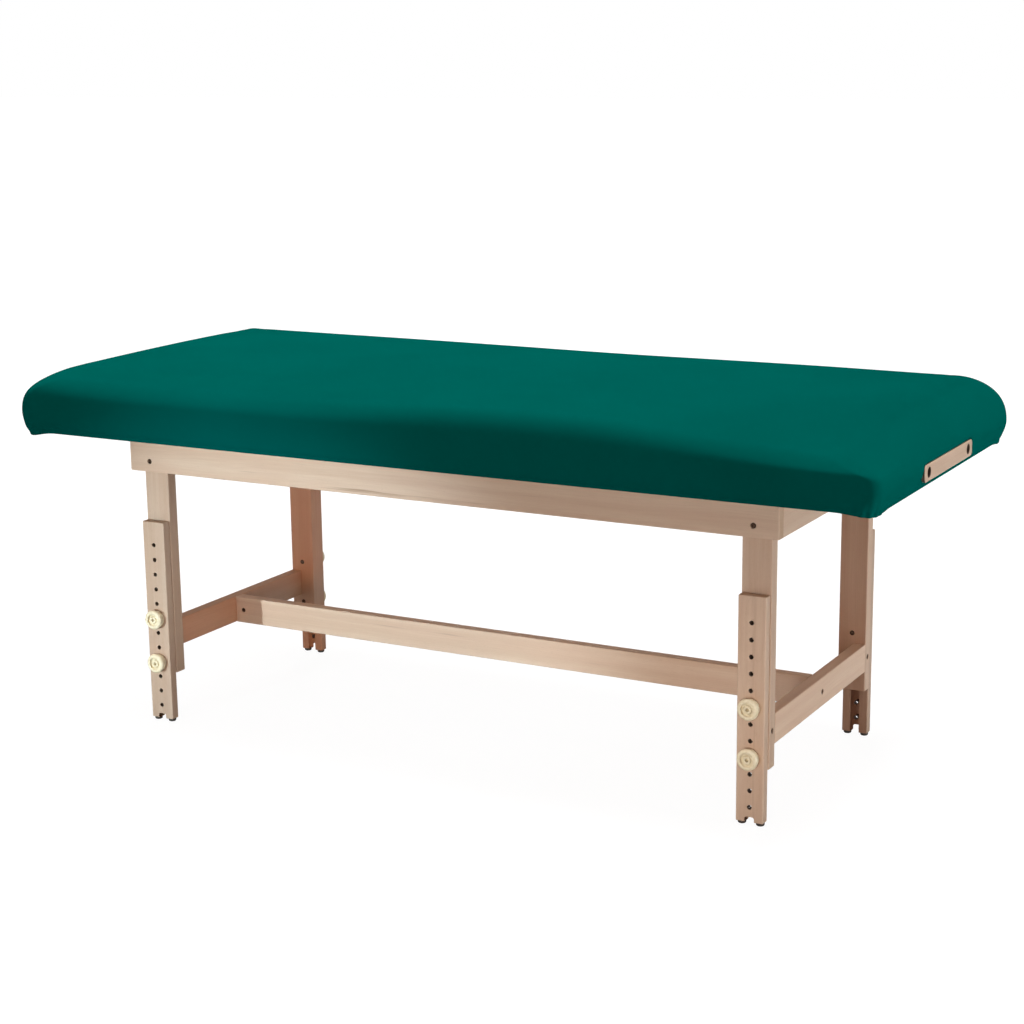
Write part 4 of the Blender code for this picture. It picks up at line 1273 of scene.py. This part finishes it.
ZINC = steel("zinc plate", (0.50, 0.49, 0.46), (0.34, 0.33, 0.31), 0.30)
half = Vector(STAPLE_SIZE) / 2
staple = in_scene("staple", eased_box("staple", -half, half, STAPLE_EASE, 1))
inset = SIDE_DRAW_IN + STAPLE_INSET
staples = grown(bpy.data.meshes.new("no blank"), staple_tree(), {
    "Pattern": staple, "Length": 2 * (HALF_LENGTH - inset), "Width": 2 * (HALF_WIDTH - inset),
    "Height": deck_low.z - HEM - STAPLE_PROUD, "Pitch": STAPLE_PITCH, "Seed": 4, "Finish": ZINC,
})
bpy.data.objects.remove(staple)
fitted("staples", staples, "table_frame", "zinc_steel")


# Outlet plate
# A small maple plate on the head end, its face eased and its edges painted dark as shade, fixed to the head
# rail.
# The arms of a face cradle push through its two holes into the rail.

PLATE_EASE = 0.0016
PLATE_HOLE_EASE = 0.0007
PLATE_TONE = 0.92
PLATE_EDGE_SHADE_TONE = 0.14
PLATE_STAIN = 0.2
PLATE_SEED = 51


def on_plate_edge(middle, normal):
    """True on the plate's outer edge and on the walls of its holes, which get painted shade."""
    return abs(normal.x) < 0.3


def outlet_plate(finish, shade_finish):
    """The plate, with its outer edge and the walls of its holes painted dark as shade."""
    thickness = plate_high.x - plate_low.x
    back = eased_box("plate", plate_low, plate_high, PLATE_CORNER, 8, along=0)
    bm = bmesh.new()
    bm.from_mesh(back)
    rim = [edge for edge in bm.edges if all(vert.co.x > plate_high.x - 1e-5 for vert in edge.verts)]
    bmesh.ops.bevel(bm, geom=rim, offset=PLATE_EASE, segments=4, profile=0.5, affect="EDGES")
    bm.to_mesh(back)
    bm.free()
    socket_z = (plate_low.z + plate_high.z) / 2
    mesh = grown(back, DRILLED, {
        "Count": 2, "First": (plate_high.x, -SOCKET_Y, socket_z), "Pitch": (0, 2 * SOCKET_Y, 0),
        "Turn": (0, math.pi / 2, 0), "Diameter": 2 * SOCKET_RADIUS, "Ease": PLATE_HOLE_EASE,
        "Depth": 4 * thickness, "Finish": finish,
    })
    darkened(mesh, shade_finish, on_plate_edge)
    return crisp(mesh)


plate_finishes = []
for name, tone in (("maple outlet plate", PLATE_TONE), ("stained plate edge", PLATE_EDGE_SHADE_TONE)):
    plate_finishes.append(maple(name, plate_low, plate_high, "y", PLATE_SEED, tone, PLATE_STAIN))
plate_mesh = outlet_plate(*plate_finishes)
fitted("outlet_plate", plate_mesh, "table_frame", "maple", "cradle_outlet_plate")


# Studio
# A white sweep under two broad lamps, with weaker ones at the head end, in front and behind.
# Several reach only some pieces, which keeps the far legs, the foot end and the vinyl's end in soft shade.

FLOOR_REACH = 40
FLOOR_GREY = 0.34
SHADOW_GREY = 0.10


def lamp(name, place, target, size, power, colour=(1, 1, 1)):
    data = bpy.data.lights.new(name, "AREA")
    data.shape = "DISK"
    data.size = size
    data.energy = power
    data.color = colour
    item = bpy.data.objects.new(name, data)
    item.location = place
    item.rotation_euler = (Vector(target) - Vector(place)).to_track_quat("-Z", "Y").to_euler()
    bpy.context.scene.collection.objects.link(item)
    return item


def spotlight(name, place, target, cone, softness, size, power, colour):
    item = lamp(name, place, target, size, power, colour)
    item.data.type = "SPOT"
    item.data.energy = power
    item.data.spot_size = math.radians(cone)
    item.data.spot_blend = softness
    item.data.shadow_soft_size = size
    return item


def backdrop(name):
    """White to the camera with a faint shadow near the table, and a mid grey to the light that bounces."""
    finish = bpy.data.materials.new(name)
    finish.use_nodes = True
    tree = finish.node_tree
    tree.nodes.clear()
    seen = add_node(tree, "ShaderNodeLightPath").outputs["Is Camera Ray"]
    place = add_node(tree, "ShaderNodeTexCoord").outputs["Object"]
    away = soft_step(tree, vectors(tree, "LENGTH", place)["Value"], 0.8, 2.6)
    white = maths(tree, "MULTIPLY_ADD", away, 0.06, 0.95)
    glow = add_node(tree, "ShaderNodeEmission", {"Color": (1, 1, 1, 1), "Strength": white}).outputs[0]
    faint, grey = [
        add_node(tree, "ShaderNodeBsdfDiffuse", {"Color": (tone, tone, tone, 1)}).outputs[0]
        for tone in (SHADOW_GREY, FLOOR_GREY)
    ]
    lit = add_node(tree, "ShaderNodeAddShader", {0: glow, 1: faint}).outputs[0]
    mix = add_node(tree, "ShaderNodeMixShader", {0: seen, 1: grey, 2: lit}).outputs[0]
    add_node(tree, "ShaderNodeOutputMaterial", {0: mix})
    return finish


floor_mesh = bpy.data.meshes.new("floor")
floor_corners = [(FLOOR_REACH * sx, FLOOR_REACH * sy, 0) for sx, sy in ((-1, -1), (1, -1), (1, 1), (-1, 1))]
floor_mesh.from_pydata(floor_corners, [], [(0, 1, 2, 3)])
floor_mesh.materials.append(backdrop("studio floor"))
in_scene("floor", floor_mesh)

world = bpy.data.worlds.new("studio")
bpy.context.scene.world = world
world.use_nodes = True
sky = world.node_tree
sky.nodes.clear()
seen = add_node(sky, "ShaderNodeLightPath").outputs["Is Camera Ray"]
shown = add_node(sky, "ShaderNodeBackground", {"Color": (1, 1, 1, 1), "Strength": 1.0}).outputs[0]
fill = add_node(sky, "ShaderNodeBackground", {"Color": (1, 0.72, 0.64, 1), "Strength": 0.30}).outputs[0]
blend = add_node(sky, "ShaderNodeMixShader", {0: seen, 1: fill, 2: shown}).outputs[0]
add_node(sky, "ShaderNodeOutputWorld", {0: blend})

lamp("overhead", (-1.3, 0, 4.2), (-0.4, 0, 0.7), 2.5, 98)
lamp("key", (2.2, 0.3, 8.5), (0, 0, 0.7), 2.5, 440)
end_light = lamp("end light", (6.0, 0, 0.8), (0.8, 0, 0.5), 1.2, 117, (0.88, 1, 1.07))
sheen = lamp("low light on the padded end", (3.2, 0, 0.16), (0.93, 0, 0.66), 0.25, 42)
front_lights = [
    lamp("front light", (0.3, -6.0, 0.9), (0, 0, 0.45), 1.2, 68, (0.96, 1, 1.03)),
    spotlight(
        "window light", (-1.27, -4.7, 0.55), (-0.34, -0.2, 0.23), 15.8, 0.80, 0.06, 620, (0.69, 0.886, 1),
    ),
    spotlight("low light", (1.2, -3.6, 0.25), (0.50, -0.2, 0.08), 17.0, 0.9, 0.1, 85, (1, 0.96, 0.92)),
]
head_bounce = lamp("bounce on the far leg", (1.5, -3.0, 0.5), (0.6, 0.2, 0.35), 1.0, 6, (1, 0.42, 0.28))
foot_bounce = lamp("bounce at the foot end", (1.5, -3.0, 0.5), (-0.6, 0.2, 0.35), 1.0, 36, (1, 0.44, 0.26))
back_light = lamp("back light", (-3.0, 5.6, 1.3), (0, 0, 0.45), 1.5, 120)
back_light.visible_glossy = False
knob_light = lamp("knob light", (-1.2, -2.4, 3.2), (0, -0.3, 0.2), 0.6, 38)


def limit(light, items, state="INCLUDE"):
    """Lets a lamp reach only these items, or all but them."""
    group = bpy.data.collections.new(f"reach of the {light.name}")
    for item in items:
        group.objects.link(item)
    for entry in group.collection_objects:
        entry.light_linking.link_state = state
    light.light_linking.receiver_collection = group


foot_end = [boards["end_rail_foot"], boards["upper_leg_back_foot"], bpy.data.objects["sliding_leg_back_foot"]]
far_legs = [boards["upper_leg_back_head"], bpy.data.objects["sliding_leg_back_head"]]
knobs = [bpy.data.objects[f"knob_{name}_{level}"] for name in CORNERS for level in LEVELS]
for light in front_lights:
    limit(light, foot_end + far_legs, "EXCLUDE")
limit(end_light, foot_end + [cushion], "EXCLUDE")
limit(sheen, [cushion])
limit(head_bounce, far_legs)
limit(foot_bounce, foot_end)
limit(knob_light, knobs)
# With the light tree on, the brightness of the top did not follow the power of the key lamp.
bpy.context.scene.cycles.use_light_tree = False

CAMERA_PLACE = (2.0237, -3.6392, 1.4105)
YAW, PITCH, ROLL = math.radians(28.80), math.radians(12.84), math.radians(-0.72)
back = Vector((math.sin(YAW) * math.cos(PITCH), -math.cos(YAW) * math.cos(PITCH), math.sin(PITCH)))
right = Vector((math.cos(YAW), math.sin(YAW), 0))
up = back.cross(right)
right, up = right * math.cos(ROLL) + up * math.sin(ROLL), up * math.cos(ROLL) - right * math.sin(ROLL)
lens = bpy.data.cameras.new("camera")
lens.sensor_width = 36
lens.lens = 73.21
camera = bpy.data.objects.new("camera", lens)
turn = Matrix((right, up, back)).transposed().to_4x4()
camera.matrix_world = Matrix.Translation(CAMERA_PLACE) @ turn
bpy.context.scene.collection.objects.link(camera)
bpy.context.scene.camera = camera
bpy.context.scene.view_settings.view_transform = "Standard"
